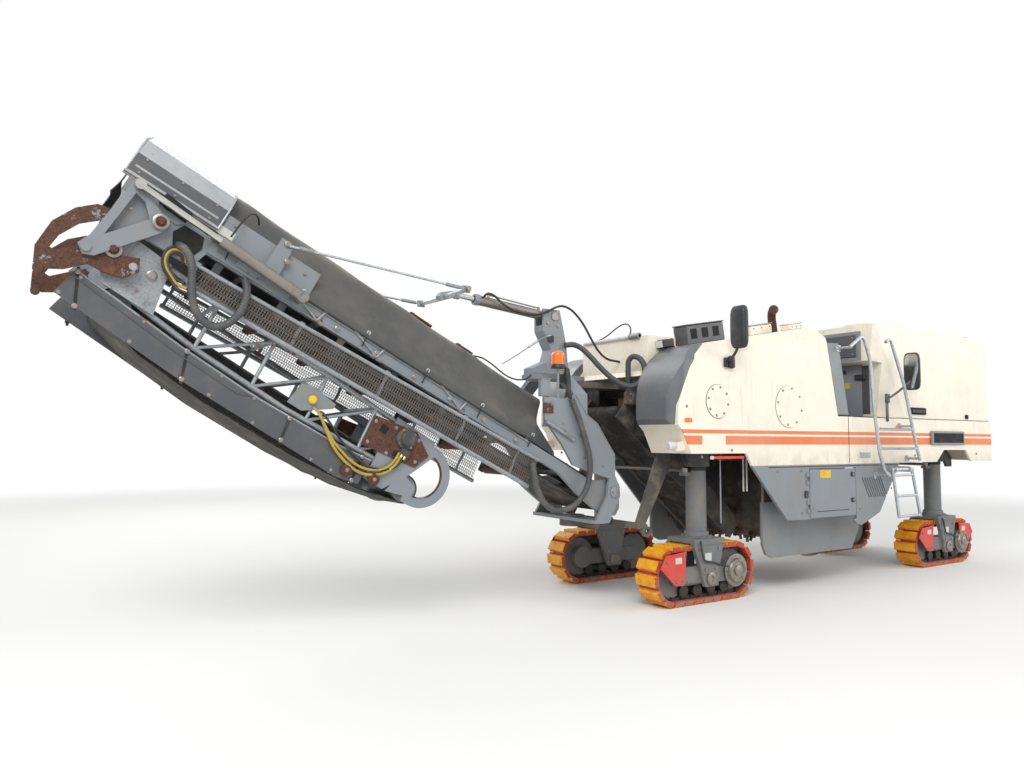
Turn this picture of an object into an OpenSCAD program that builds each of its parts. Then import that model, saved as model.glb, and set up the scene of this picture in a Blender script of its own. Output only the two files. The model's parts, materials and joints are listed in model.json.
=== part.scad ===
/* [Running gear] */
// Distance between the front and rear column axes
wheelbase = 4220; // [4100:10:4400]
// Distance from the centre plane to a column axis
column_y = 690; // [680:5:720]
// Radius of a lifting column
column_r = 97; // [80:1:105]
// Overall length of a track
track_len = 1330; // [1250:10:1360]
// Width of a track
track_w = 260; // [220:5:280]
// Overall height of a track
track_h = 550; // [500:5:550]
// Shoes on one track
shoe_count = 24; // [20:1:28]
// Thickness of a road pad
pad_t = 32; // [20:1:40]
// Thickness of the chain and shoe band
band_t = 46; // [36:1:60]
// Thickness of the yoke's side plates
fork_t = 36; // [25:1:45]

/* [Milling unit] */
// Cutting radius of the drum, over its picks
drum_r = 490; // [450:5:500]
// Working width of the drum
drum_len = 1500; // [1400:10:1520]
// Distance of the drum behind the front columns
drum_back = 1620; // [1500:10:1750]
// Height of the drum's axis with the machine raised to travel
drum_z = 840; // [830:5:900]
// Rows of picks around the drum
pick_rows = 28; // [16:1:36]
// Thickness of the drum housing
housing_t = 20; // [12:1:30]

/* [Body] */
// Half width over the side panels
body_half = 1050; // [1040:5:1100]
// Height of the side panels' lower edge
body_z0 = 1280; // [1240:5:1320]
// Height of the seam under the engine hood
deck_z = 1780; // [1740:5:1820]
// Wall of the body and hood shells
skin = 25; // [12:1:40]
// Height of the front body's roof at its front
roof_front_z = 2400; // [2340:5:2440]
// Height of the front body's roof at the platform
roof_rear_z = 2720; // [2660:5:2760]
// Distance of the front body's rear edge behind the front columns
pillar_back = 1590; // [1500:5:1650]
// Distance of the hood's front wall behind the front columns
hood_front = 2450; // [2350:5:2550]
// Distance of the hood's rear wall behind the front columns
hood_rear = 4930; // [4850:5:4960]
// Height of the engine hood's roof
hood_z = 2850; // [2750:5:2950]
// Rear overhang of the lower body behind the front columns
body_rear = 4990; // [4970:5:5050]
// Thickness of the lower side panels
skirt_t = 30; // [16:1:40]

/* [Conveyor] */
// Slewing axis ahead of the front columns
slew_x = 950; // [900:5:1000]
// Lift pin ahead of the front columns
pin_x = 850; // [820:5:900]
// Height of the lift pin
pin_z = 1040; // [1000:5:1080]
// Rise of the conveyor as it is parked
boom_tilt = 27.3; // [24:0.1:29]
// Length of the main boom from its lift pin to its fold pin
boom_len = 4470; // [4300:10:4600]
// Half width over the boom's side beams
boom_half = 440; // [420:5:460]
// Width of the belts
belt_w = 600; // [500:10:640]
// Thickness of the belts
belt_t = 12; // [8:1:16]
// Depth of the boom's upper side beams
beam_h = 100; // [80:5:120]
// Depth of the boom's mesh guard
guard_h = 240; // [200:5:260]
// Angle between the parked folding section and the boom
fold_lean = 3.7; // [2:0.1:5]
// Length of the folding section from its pin to its head drum
fold_len = 2650; // [2500:10:2700]
// Half width over the folding section's side boards
fold_half = 394; // [380:1:396]
// Height of the mast head
mast_z = 2690; // [2600:5:2740]
// Mast head ahead of the front columns
mast_x = 1230; // [1180:5:1260]

/* [Access] */
// Outside radius of the ladder tubes
ladder_r = 17; // [12:1:22]
// Clear width of the ladder
ladder_w = 420; // [350:10:460]

/* [Clearances] */
// Running gap between a pin or column and its bore
run_gap = 0.3; // [0.2:0.05:0.5]
// Gap between panels that move past each other
move_gap = 8; // [6:1:15]

/* [Hidden] */
$fn = 48;
rear_x = -wheelbase;
drum_x = -drum_back;
// Fold pin below the boom's belt line
fold_drop = 420;
fold_x = pin_x + along(boom_len, -fold_drop)[0];
fold_z = pin_z + along(boom_len, -fold_drop)[1];
// The machine's foremost point is the boss in the nose of the fold links
nose = [262, -345];
nose_r = 30;
fold_tilt = boom_tilt + fold_lean;
nose_x = fold_x + nose[0] * cos(fold_tilt) - nose[1] * sin(fold_tilt) + nose_r;
frame_x = (body_rear - nose_x) / 2;
guide_r = column_r + 33;
beam_z0 = drum_z + drum_r + 25 + housing_t;
beam_z1 = beam_z0 + 190;
rail_y0 = 430;
rail_y1 = 560;
guide_z0 = 1270;
guide_z1 = 2150;
body_mounts = [-1200, -3300, -4700];
// Lashing eyes in the frame, as X and Z of their bores
eye_r = 27;
front_eye = [505, 665];
rear_eye = [-body_rear + 70, 1230];
yoke_z = track_h + 10;
yoke_t = 42;

// A point a distance along the boom and a height above its belt line, as X and Z from the lift pin
function along(s, n, tilt = boom_tilt) =
    [s * cos(tilt) - n * sin(tilt), s * sin(tilt) + n * cos(tilt)];

// Side outlines: children are drawn in X and Z and run from y0 to y1
module side_run(y0, y1) {
    translate([0, y1, 0]) rotate([90, 0, 0]) linear_extrude(y1 - y0) children();
}

// A bar along Y from y0 to y1
module cross_bar(x, z, r, y0, y1) {
    translate([x, y1, z]) rotate([90, 0, 0]) cylinder(h = y1 - y0, r = r);
}

// A round bar between two points
module rod(p, q, r) {
    d = q - p;
    len = norm(d);
    translate(p) rotate([0, acos(d[2] / len), atan2(d[1], d[0])]) cylinder(h = len, r = r);
}

module box(x0, x1, y0, y1, z0, z1) {
    translate([x0, y0, z0]) cube([x1 - x0, y1 - y0, z1 - z0]);
}

function unit(v) = v / norm(v);
// Half the turn at point i of a path
function half_turn(pts, i) = acos(min(1, unit(pts[i] - pts[i - 1]) * unit(pts[i + 1] - pts[i]))) / 2;
// Length lost to the bend at point i, for a bend radius; a shallow bend takes a larger radius
function bend_cut(pts, i, bend) = i == 0 || i == len(pts) - 1 ? 0 :
    max(bend * tan(half_turn(pts, i)), least_cut);

// A bent tube through points in X and Z, in the plane y: straights with bends a hair thinner
lap = 2;
least_cut = 30;
module bent_tube(pts, y, r, bend = 90) {
    n = len(pts);
    translate([0, y, 0]) rotate([90, 0, 0]) {
        for (i = [0 : n - 2]) {
            d = unit(pts[i + 1] - pts[i]);
            c0 = i == 0 ? 0 : bend_cut(pts, i, bend) - lap;
            c1 = i == n - 2 ? 0 : bend_cut(pts, i + 1, bend) - lap;
            p = pts[i] + d * c0;
            len = norm(pts[i + 1] - pts[i]) - c0 - c1;
            translate(p) rotate([0, 90, atan2(d[1], d[0])]) cylinder(h = len, r = r);
        }
        for (i = [1 : 1 : n - 2]) {
            a = unit(pts[i] - pts[i - 1]);
            b = unit(pts[i + 1] - pts[i]);
            turn = a[0] * b[1] - a[1] * b[0] > 0 ? 1 : -1;
            start = pts[i] - a * bend_cut(pts, i, bend);
            side = turn * [-a[1], a[0]];
            angle = 2 * half_turn(pts, i);
            turn_r = bend_cut(pts, i, bend) / tan(angle / 2);
            translate(start + side * turn_r) rotate(atan2(-side[1], -side[0]) - (turn > 0 ? 0 : angle))
                rotate_extrude(angle = angle) translate([turn_r, 0]) circle(r = r - lap / 4);
        }
    }
}

// The left side's children and their mirror image
module both_sides() {
    children();
    mirror([0, 1, 0]) children();
}

// The boom's own frame: X along the belt, origin at the lift pin
module on_boom() {
    translate([pin_x, 0, pin_z]) rotate([0, -boom_tilt, 0]) children();
}

// The folding section's own frame: X up the boom, origin at the fold pin
module on_fold() {
    translate([fold_x, 0, fold_z]) rotate([0, -fold_tilt, 0]) children();
}

module main_frame() {
    color("dimgray") difference() {
        union() {
            both_sides() {
                box(-body_rear + 120, 330, rail_y0, rail_y1, beam_z0, beam_z1);
                for (x = [0, rear_x]) {
                    translate([x, column_y, guide_z0]) cylinder(h = guide_z1 - guide_z0, r = guide_r);
                    box(x - 100, x + 100, rail_y1 - 20, column_y, beam_z0, guide_z1 - 60);
                }
                for (x = body_mounts) box(x - 40, x + 40, rail_y1 - 10, body_half - skin - run_gap, beam_z0 + 40,
                    beam_z0 + 100);
                side_run(rail_y1 - 40, rail_y1)
                    polygon([[-body_rear + 120, beam_z0 + 20], [-body_rear + skin + run_gap, beam_z0 - 60],
                        rear_eye + [-44, -40], rear_eye + [60, -40], [-body_rear + 260, beam_z0 + 20]]);
            }
            box(-body_rear + 120, -body_rear + 220, -rail_y1, rail_y1, beam_z0, beam_z1);
            box(hood_cross_x - 50, hood_cross_x + 50, -rail_y1, rail_y1, beam_z0, beam_z1);
            box(-90, 90, -rail_y1 - 10, rail_y1 + 10, guide_z1 - 180, guide_z1 - 60);
            box(-90, slew_x - 110, -150, 150, guide_z1 - 130, guide_z1 - 70);
            translate([slew_x, 0, guide_z1 - 130]) cylinder(h = 60, r = 150);
            translate([slew_x - 160, -150, guide_z1 - 130]) cube([160, 300, 60]);
        }
        both_sides() for (x = [0, rear_x])
            translate([x, column_y, guide_z0 - 1]) cylinder(h = guide_z1 - guide_z0 + 2,
                r = column_r + run_gap);
        both_sides() cross_bar(rear_eye[0], rear_eye[1], eye_r, rail_y1 - 41, rail_y1 + 1);
        translate([slew_x, 0, guide_z1 - 131]) cylinder(h = 62, r = kingpin_r + run_gap);
    }
}
hood_cross_x = -2900;
lower_pin_z = 760;
kingpin_r = 40;

// The bracket of the lower kingpin: an arm down from each side rail, with the front lashing eyes
module slew_bracket() {
    low = lower_pin_z - 60;
    top = lower_pin_z - move_gap;
    seat = 330 + run_gap;
    color("dimgray") difference() {
        union() {
            both_sides() side_run(rail_y1 - 40, rail_y1) {
                polygon([[seat, beam_z0 + 60], [seat, beam_z0 - run_gap], [150, beam_z0 - run_gap],
                    [slew_x - 400, low], [slew_x - 320, low], [slew_x - 320, top]]);
                translate(front_eye) circle(r = eye_r + 24);
                translate(front_eye - [0, 10]) square([60, 80]);
            }
            translate([slew_x, 0, low]) cylinder(h = 60, r = 130);
            box(slew_x - 320, slew_x, -130, 130, low, top);
            box(slew_x - 360, slew_x - 320, -rail_y1, rail_y1, low, top);
        }
        both_sides() cross_bar(front_eye[0], front_eye[1], eye_r, rail_y1 - 41, rail_y1 + 1);
        translate([slew_x, 0, low - 1]) cylinder(h = 62, r = kingpin_r + run_gap);
    }
}

// The front body: side outline less its hollow inside and the tunnel for the first conveyor
seam_foot = [[430, 1400], [530, 1600]];
seam = [[594, 1660], [585, 1830], [520, 2010], [437, 2180], [344, 2300]];
// The fairings' upper edge meets the roof this far ahead of the front columns
fairing_top = 150;
roof_slope = atan2(roof_rear_z - roof_front_z, pillar_back - 90 + 300);
function roof_z(x) = roof_front_z + (300 - x) * tan(roof_slope);
edge_drop = 130;
edge_in = 110;
tunnel_half = 400;
tunnel_z = 2140;
module front_outline(inset = 0) {
    polygon(concat([for (p = concat(seam_foot, seam)) p - [inset, 0]],
        [[fairing_top - inset, roof_z(fairing_top) - inset], [-pillar_back + 90 + inset, roof_rear_z - inset],
        [-pillar_back + inset, roof_rear_z - 180], [-pillar_back - 160 + inset, deck_z],
        [-pillar_back - 160 + inset, inset > 0 ? body_z0 - 10 : body_z0]],
        inset > 0 ? [[430 - inset, body_z0 - 10]] : [[-380, body_z0], [-300, 1400]]));
}
// The raised front wall over the tunnel, between the fairings
wall_x0 = 60;
wall_x1 = 430;
wall_half = 500;
wall_top = 2530;
// Chamfers along the roof's sides: a cross-section run along its slope, higher than the roof
module edge_cut(half, z) {
    translate([300, 0, z]) rotate([0, roof_slope, 0]) rotate([90, 0, -90])
        translate([0, 0, -600]) linear_extrude(3200)
        polygon([[-half, -1800], [half, -1800], [half, -edge_drop], [half - 2 * edge_in, edge_drop],
            [-half + 2 * edge_in, edge_drop], [-half, -edge_drop]]);
}
module front_body() {
    color("antiquewhite") difference() {
        union() {
            intersection() {
                side_run(-body_half, body_half) front_outline();
                edge_cut(body_half, roof_front_z);
            }
            both_sides() {
                cross_bar(-950, 1860, 210, body_half - 1, body_half + 8);
                cross_bar(80, 1880, 155, body_half - 1, body_half + 8);
            }
            box(wall_x0, wall_x1, -wall_half, wall_half, tunnel_z, wall_top);
        }
        intersection() {
            side_run(-body_half + skin, body_half - skin) front_outline(skin);
            edge_cut(body_half - skin, roof_front_z - skin);
        }
        box(0, 800, -tunnel_half - 140, tunnel_half + 140, 1200, tunnel_z);
        box(-2000, -1600, -body_half + skin, body_half - skin, body_z0 - 1, 1700);
    }
}

// The dark front corner fairings: a big arc in side view, rounded corners in plan, chamfered roof edge
fairing_front = 640;
fairing_in = 560;
fairing_r = 560;
fairing_corner = 140;
module fairing_outline() {
    centre = [fairing_front - fairing_r, roof_z(fairing_top) - fairing_r + 4];
    intersection() {
        polygon(concat(seam, [[fairing_top, roof_z(fairing_top)], [fairing_front + 1, roof_z(fairing_top)],
            [fairing_front + 1, seam[0][1] + 50], [fairing_front - 25, seam[0][1]]]));
        union() {
            translate(centre) circle(r = fairing_r, $fn = 96);
            translate([fairing_front - fairing_r, seam[0][1] - 10]) square([fairing_r, centre[1] - seam[0][1] + 10]);
        }
    }
}
module front_fairings() {
    inner_y = body_half - fairing_corner;
    color("slategray") both_sides() intersection() {
        side_run(fairing_in, body_half) fairing_outline();
        translate([0, 0, 1300]) linear_extrude(1200) union() {
            translate([-200, fairing_in]) square([fairing_front + 200, inner_y - fairing_in]);
            translate([-200, fairing_in]) square([fairing_front + 200 - fairing_corner, body_half - fairing_in]);
            translate([fairing_front - fairing_corner, inner_y]) circle(r = fairing_corner);
        }
        edge_cut(body_half, roof_front_z);
    }
}

module rear_body() {
    notch = [[-3671, body_z0 - 10], [-3671, body_z0], [-3838, 1420], [-4352, 1420], [-4465, body_z0],
        [-4465, body_z0 - 10]];
    color("antiquewhite") difference() {
        box(-body_rear, -pillar_back - 160, -body_half, body_half, body_z0, deck_z);
        box(-body_rear + skin, -pillar_back - 160 + 1, -body_half + skin, body_half - skin,
            body_z0 - 1, deck_z - skin);
        both_sides() side_run(body_half - skin - 1, body_half + 1) polygon(notch);
        box(-hood_rear + 150, -hood_front - 300, -body_half + 200, body_half - 200, deck_z - 40,
            deck_z + 1);
    }
    color("antiquewhite") for (y = hood_hinge_ys) {
        cross_bar(hood_hinge_x, hood_hinge_z, hood_hinge_r / 2, y - 40, y + 40);
        for (e = [y - 46, y + 46]) {
            cross_bar(hood_hinge_x, hood_hinge_z, hood_hinge_r, e - 10, e + 10);
            box(hood_hinge_x - 14, hood_hinge_x + 14, e - 10, e + 10, deck_z - 1, hood_hinge_z);
        }
    }
}

// Engine hood: a hollow shell, hinged behind its rear wall
module hood_outline(inset = 0) {
    z0 = deck_z + (inset > 0 ? -1 : seal_gap);
    polygon([[-hood_front - hood_step - inset, z0], [-hood_front - hood_step - inset, step_z],
        [-hood_front - inset, step_z + 20], [-hood_front - inset, hood_z - inset - 20],
        [-3600, hood_z - inset], [-hood_rear + 280, hood_z - 40 - inset],
        [-hood_rear + 120 + inset / 2, hood_z - 85 - inset / 2],
        [-hood_rear + 30 + inset, hood_z - 170], [-hood_rear + inset, hood_z - 300],
        [-hood_rear + inset, z0]]);
}
seal_gap = 6;
// The hood's front wall leans out above this height
step_z = 2400;
hood_step = 170;
hood_hinge_x = -hood_rear - 28;
hood_hinge_z = deck_z + 22;
hood_hinge_r = 18;
hood_hinge_ys = [-700, 700];
module engine_hood() {
    color("antiquewhite") difference() {
        union() {
            side_run(-body_half, body_half) hood_outline();
            translate([-3000, 560, hood_z - 40]) cylinder(h = 90, r = 190);
        }
        side_run(-body_half + 140, body_half - 140) hood_outline(skin);
        box(-hood_rear + skin, -3400, -body_half + skin, body_half - skin, deck_z - 1, hood_z - 340);
        both_sides() translate([-3020, body_half, deck_z]) rotate([0, 26.6, 0]) rotate([0, 0, -16])
            translate([0, 0, -600]) cube([1200, 400, 2600]);
        box(-hood_rear - 1, -hood_rear + skin + 1, -body_half + 120, body_half - 120, deck_z + 90,
            hood_z - 320);
    }
    color("antiquewhite") for (y = hood_hinge_ys) difference() {
        hinge_ear(y, 30, -hood_rear + 5, hood_hinge_z + 20);
        cross_bar(hood_hinge_x, hood_hinge_z, hood_hinge_r / 2 + run_gap, y - 31, y + 31);
    }
}
module hinge_ear(y, half, x, z) {
    cross_bar(hood_hinge_x, hood_hinge_z, hood_hinge_r, y - half, y + half);
    side_run(y - half, y + half) polygon([[hood_hinge_x, hood_hinge_z - 12], [hood_hinge_x, hood_hinge_z + 12],
        [x, z + 12], [x, z - 12]]);
}
module hood_grille() {
    pitch = 60;
    color("gray") {
        difference() {
            box(-hood_rear, -hood_rear + skin, -body_half + 120, body_half - 120, deck_z + 90,
                hood_z - 320);
            box(-hood_rear - 1, -hood_rear + skin + 1, -body_half + 150, body_half - 150,
                deck_z + 120, hood_z - 350);
        }
        for (z = [deck_z + 120 : pitch : hood_z - 380])
            box(-hood_rear + 3, -hood_rear + skin - 3, -body_half + 145, body_half - 145, z, z + 22);
    }
}
module engine_block() {
    color("silver") box(-hood_rear + 780, -hood_front - 500, -480, 480, beam_z1, step_z + 100);
}

module platform() {
    color("dimgray")
        box(-hood_front - 150, -pillar_back - 170, -body_half + 40, body_half - 40, deck_z, deck_z + 12);
}
// Operator's dashboard on the front body's leaning rear wall, with its dark side pillars
module console() {
    z0 = deck_z + 12;
    lean = (roof_rear_z - 180 - deck_z) / 160;
    function wall_x(z) = -pillar_back - 160 + (z - deck_z) / lean - run_gap;
    color("dimgray") {
        both_sides() side_run(body_half - 240, body_half - 10)
            polygon([[wall_x(roof_rear_z - 190), roof_rear_z - 190],
                [wall_x(roof_rear_z - 190) - 185, roof_rear_z - 170], [wall_x(z0) - 175, z0], [wall_x(z0), z0]]);
        side_run(-body_half + 240, body_half - 240)
            polygon([[wall_x(roof_rear_z - 190), roof_rear_z - 190],
                [wall_x(roof_rear_z - 190) - 260, roof_rear_z - 260], [wall_x(2300) - 90, 2300],
                [wall_x(z0) - 60, z0], [wall_x(z0), z0]]);
    }
}
panel_t = 12;
module hood_panels() {
    color("slategray") {
        box(-hood_front - hood_step, -hood_front - hood_step + panel_t, -body_half + 260, body_half - 260,
            deck_z + 20, step_z - 5);
        box(-hood_front, -hood_front + panel_t, -body_half + 160, body_half - 160, step_z + 30, hood_z - 90);
    }
}

skirt_z0 = 740;
door_x0 = -2040;
door_x1 = -1242;
module skirt_outline() {
    polygon([[-380, body_z0], [-890, skirt_z0], [-1970, skirt_z0 - 20], [-2038, 650], [-2126, 628],
        [-2470, 750], [-2880, body_z0]]);
}
module skirt_plate() {
    difference() {
        side_run(body_half - skirt_t, body_half) skirt_outline();
        for (i = [0 : 8])
            translate([-2160 - i * 42, body_half - skirt_t - 1, 1135]) rotate([0, 30, 0])
                translate([0, 0, -250]) cube([18, skirt_t + 2, 250]);
    }
}
module left_skirt() {
    color("lightslategray") difference() {
        skirt_plate();
        box(door_x0, door_x1, body_half - skirt_t - 1, body_half + 1, 700, body_z0 - 40);
    }
    color("lightslategray") for (z = hinge_zs) {
        for (dz = [-60, 20 + run_gap]) translate([door_x1, hinge_y, z + dz])
            cylinder(h = 40 - run_gap, r = hinge_r);
        translate([door_x1, hinge_y, z - 40]) cylinder(h = 80, r = hinge_r / 2);
        for (dz = [-60, 20 + run_gap]) box(door_x1, door_x1 + 50, body_half, hinge_y, z + dz,
            z + dz + 40 - run_gap);
    }
}
hinge_zs = [860, 1140];
hinge_r = 12;
hinge_y = body_half + 14;
module right_skirt() {
    color("lightslategray") mirror([0, 1, 0]) skirt_plate();
}
module service_door() {
    color("lightslategray") {
        box(door_x0 + move_gap, door_x1 - move_gap, body_half - skirt_t, body_half, skirt_z0 + 1,
            body_z0 - 40 - move_gap);
        for (z = hinge_zs) difference() {
            union() {
                translate([door_x1, hinge_y, z - 20]) cylinder(h = 40, r = hinge_r);
                box(door_x1 - 60, door_x1 - 2, body_half, hinge_y, z - 20, z + 20);
            }
            translate([door_x1, hinge_y, z - 21]) cylinder(h = 42, r = hinge_r / 2 + run_gap);
        }
    }
}

module drum_housing() {
    r_in = drum_r + 25;
    half = drum_len / 2 + 12;
    color("dimgray") difference() {
        union() {
            cross_bar(drum_x, drum_z, r_in + housing_t, -half - housing_t, half + housing_t);
            box(drum_x - r_in - housing_t, drum_x + r_in + housing_t, -half - housing_t,
                half + housing_t, drum_z - 240, drum_z);
            box(drum_x - 300, drum_x + 300, -half - housing_t, half + housing_t, drum_z, beam_z0);
            both_sides() side_run(half, half + housing_t) polygon([[drum_x - r_in + 60, 1000],
                [scraper_x - 60, 1150], [scraper_x - 60, 1250], [drum_x - r_in + 160, 1250]]);
        }
        both_sides() cross_bar(scraper_x - 15, 1200, 30 + run_gap, half - 1, half + housing_t + 1);
        cross_bar(drum_x, drum_z, r_in, -half, half);
        box(drum_x - r_in, drum_x + r_in, -half, half, drum_z - 241, drum_z);
        box(drum_x - 700, drum_x + 700, -half, half, 0, drum_z - 238);
        cross_bar(drum_x, drum_z, 90 + run_gap, -half - housing_t - 1, half + housing_t + 1);
        translate([drum_x, 0, 0]) box(r_in - 200, r_in + 60, -belt_w / 2 - 20, belt_w / 2 + 20,
            0, drum_z + 60);
    }
}
module milling_drum() {
    core_r = drum_r - 90;
    half = drum_len / 2;
    color("darkslategray") translate([drum_x, 0, drum_z]) {
        rotate([90, 0, 0]) cylinder(h = drum_len, r = core_r, center = true);
        rotate([90, 0, 0]) cylinder(h = drum_len + 2 * (12 + housing_t), r = 90, center = true);
        for (side = [-1, 1], i = [0 : pick_rows / 2 - 1]) {
            y = side * (half - 30 - i * (half - 60) / (pick_rows / 2 - 1));
            for (k = [0 : 2])
                rotate([0, i * 37 + k * 120 + side * 20, 0]) translate([0, y, 0]) pick_holder(core_r);
        }
    }
}
module pick_holder(core_r) {
    translate([-40, -22, core_r - 15]) cube([80, 44, 55]);
    translate([0, 0, core_r + 30]) cylinder(h = drum_r - core_r - 30, r = 16);
}

side_plate_t = 30;
side_plate_y = drum_len / 2 + 12 + housing_t + run_gap;
module side_plate_outline() {
    polygon([[-2440, 900], [-2440, 560], [-2300, 345], [-950, 340], [-860, 380], [-812, 480],
        [-812, 900]]);
}
module left_side_plate() {
    color("slategray") {
        side_run(side_plate_y, side_plate_y + side_plate_t) side_plate_outline();
        for (x = [-835, -2400]) translate([x, side_plate_y + side_plate_t / 2, 880])
            cylinder(h = 260, r = 12);
    }
}
module right_side_plate() {
    mirror([0, 1, 0]) left_side_plate();
}
scraper_x = drum_x - drum_r - 25 - housing_t - 40;
module scraper() {
    color("dimgray") {
        side_run(-drum_len / 2, drum_len / 2) polygon([[scraper_x, 1190], [scraper_x - 30, 1190],
            [scraper_x - 90, 420], [scraper_x + 20, 345], [scraper_x + 20, 380], [scraper_x - 50, 440]]);
        cross_bar(scraper_x - 15, 1200, 30, -drum_len / 2 - 30, drum_len / 2 + 30);
    }
}

// The first conveyor, from the drum up through the tunnel
pc_foot = [-980, 560];
pc_head = [640, 1850];
pc_half = 300;
module primary_conveyor() {
    d = pc_head - pc_foot;
    a = atan2(d[1], d[0]);
    len = norm(d);
    color("dimgray") translate([pc_foot[0], 0, pc_foot[1]]) rotate([0, -a, 0]) {
        both_sides() difference() {
            box(0, len - 60, pc_half - 30, pc_half, -90, 150);
            box(150, len - 200, pc_half - 31, pc_half - 12, -60, 40);
        }
        for (s = [300, len / 2, len - 300]) cross_bar(s, 0, 20, -pc_half + 8, pc_half - 8);
        for (s = [110, len - 120]) {
            cross_bar(s, 0, 61.7, -pc_half + 45, pc_half - 45);
            cross_bar(s, 0, 20, -pc_half + 20, pc_half - 20);
        }
    }
    color("dimgray") both_sides() box(-40, 40, pc_half - 1, rail_y0, 1400, 1480);
}
module primary_belt() {
    d = pc_head - pc_foot;
    a = atan2(d[1], d[0]);
    len = norm(d);
    color("black") translate([pc_foot[0], 0, pc_foot[1]]) rotate([0, -a, 0])
        side_run(-pc_half + 45, pc_half - 45) difference() {
            belt_loop(110, len - 120, 62 + belt_t);
            belt_loop(110, len - 120, 62);
        }
}
module belt_loop(x0, x1, r) {
    translate([x0, 0]) circle(r = r);
    translate([x1, 0]) circle(r = r);
    translate([x0, -r]) square([x1 - x0, 2 * r]);
}

// Slewing frame: bladed side plates from the lower kingpin past the lift pins to an arch over the boom's foot
slew_half = boom_half + 22;
plate_t = 28;
head_top = guide_z1 - 20;
head_low = guide_z1 - 70 + run_gap;
blade = [[pin_x + 55, pin_z + 125], [1193, 1248], [1328, 1295], [1450, 1480], [1635, 1690], [1645, 1885],
    [1560, 1895], [1420, 1880], [1306, 1925], [1158, 1740], [1053, 1672], [840, 1389],
    [pin_x - 12, pin_z + 150]];
arch_x0 = 1165;
arch_x1 = 1320;
beacon_at = [1485, 476];
module slew_frame() {
    color("slategray") difference() {
        union() {
            both_sides() side_run(slew_half, slew_half + plate_t) polygon(concat([[pin_x - 65, pin_z + 50],
                [pin_x - 72, pin_z - 40], [slew_x - 40, lower_pin_z + run_gap], [slew_x + 130, lower_pin_z + run_gap],
                [pin_x + 80, pin_z - 30], [pin_x + 75, pin_z + 35]], blade));
            box(slew_x - 40, slew_x + 130, -slew_half - plate_t, slew_half + plate_t, lower_pin_z + run_gap,
                lower_pin_z + 32);
            translate([arch_x0, 0, 0]) rotate([90, 0, 90]) linear_extrude(arch_x1 - arch_x0) arch_outline();
            box(slew_x, mast_foot[0], -110, 110, head_low, head_top);
            translate([slew_x, 0, head_low]) cylinder(h = 46, r = 110);
            translate([slew_x, 0, lower_pin_z + run_gap]) cylinder(h = 40, r = 110);
            translate([slew_x, 0, lower_pin_z - 60]) cylinder(h = 70, r = kingpin_r);
            translate([slew_x, 0, guide_z1 - 130]) cylinder(h = 70, r = kingpin_r);
            translate([beacon_at[0], beacon_at[1], 1870]) cylinder(h = 280, r = 12);
        }
        both_sides() cross_bar(pin_x, pin_z, 35 + run_gap, slew_half - 1, slew_half + plate_t + 1);
    }
}
// The arch between the side plates, in Y and Z
module arch_outline() {
    y0 = slew_half;
    y1 = slew_half + plate_t;
    polygon([[y1, 1700], [y1, 1930], [230, head_top], [-230, head_top], [-y1, 1930], [-y1, 1700], [-y0, 1700],
        [-y0, 1905], [-212, head_low], [212, head_low], [y0, 1905], [y0, 1700]]);
}
// The mast: a waisted post with a flared foot and two cheeks around the hoist cylinder's pin
mast_foot = [1480, 1060];
mast_neck = 90;
module mast_outline(top) {
    polygon([[mast_foot[1], head_top], [mast_foot[0], head_top], [mast_foot[0], head_top + 55],
        [mast_x + 70, head_top + 130], [mast_x + 35, head_top + 240], [mast_x + 130, mast_z - 145],
        [mast_x + 130, top], [mast_x - 60, top], [mast_foot[1] + 30, head_top + 300]]);
}
module mast() {
    color("slategray") {
        side_run(-50, 50) mast_outline(mast_z - mast_neck);
        both_sides() difference() {
            side_run(50, 75) mast_outline(mast_z + 65);
            cross_bar(mast_x, mast_z, 25 + run_gap, 49, 76);
        }
    }
}

// Main boom: cross tubes, belt drums and the hoops for the cover, between the side frames
boom_pin_y = slew_half + plate_t;
lever_pin = [boom_len - 138, -109];
bracket_t = 40;
link_y = boom_half + 8;
link_t = 22;
lever_y = link_y + link_t + 4;
lever_t = 24;
cyl_y = lever_y + lever_t + 32;
module boom_frame() {
    color("lightslategray") on_boom() {
        for (s = [500 : 640 : boom_len - 400])
            cross_bar(s, -60, 24, -boom_half + bracket_t, boom_half - bracket_t);
        for (s = [0, belt_end]) {
            cross_bar(s, -70, belt_drum_r - run_gap, -belt_w / 2, belt_w / 2);
            cross_bar(s, -70, 25, -boom_half + bracket_t, boom_half - bracket_t);
        }
        cover_hoops();
    }
}
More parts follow.
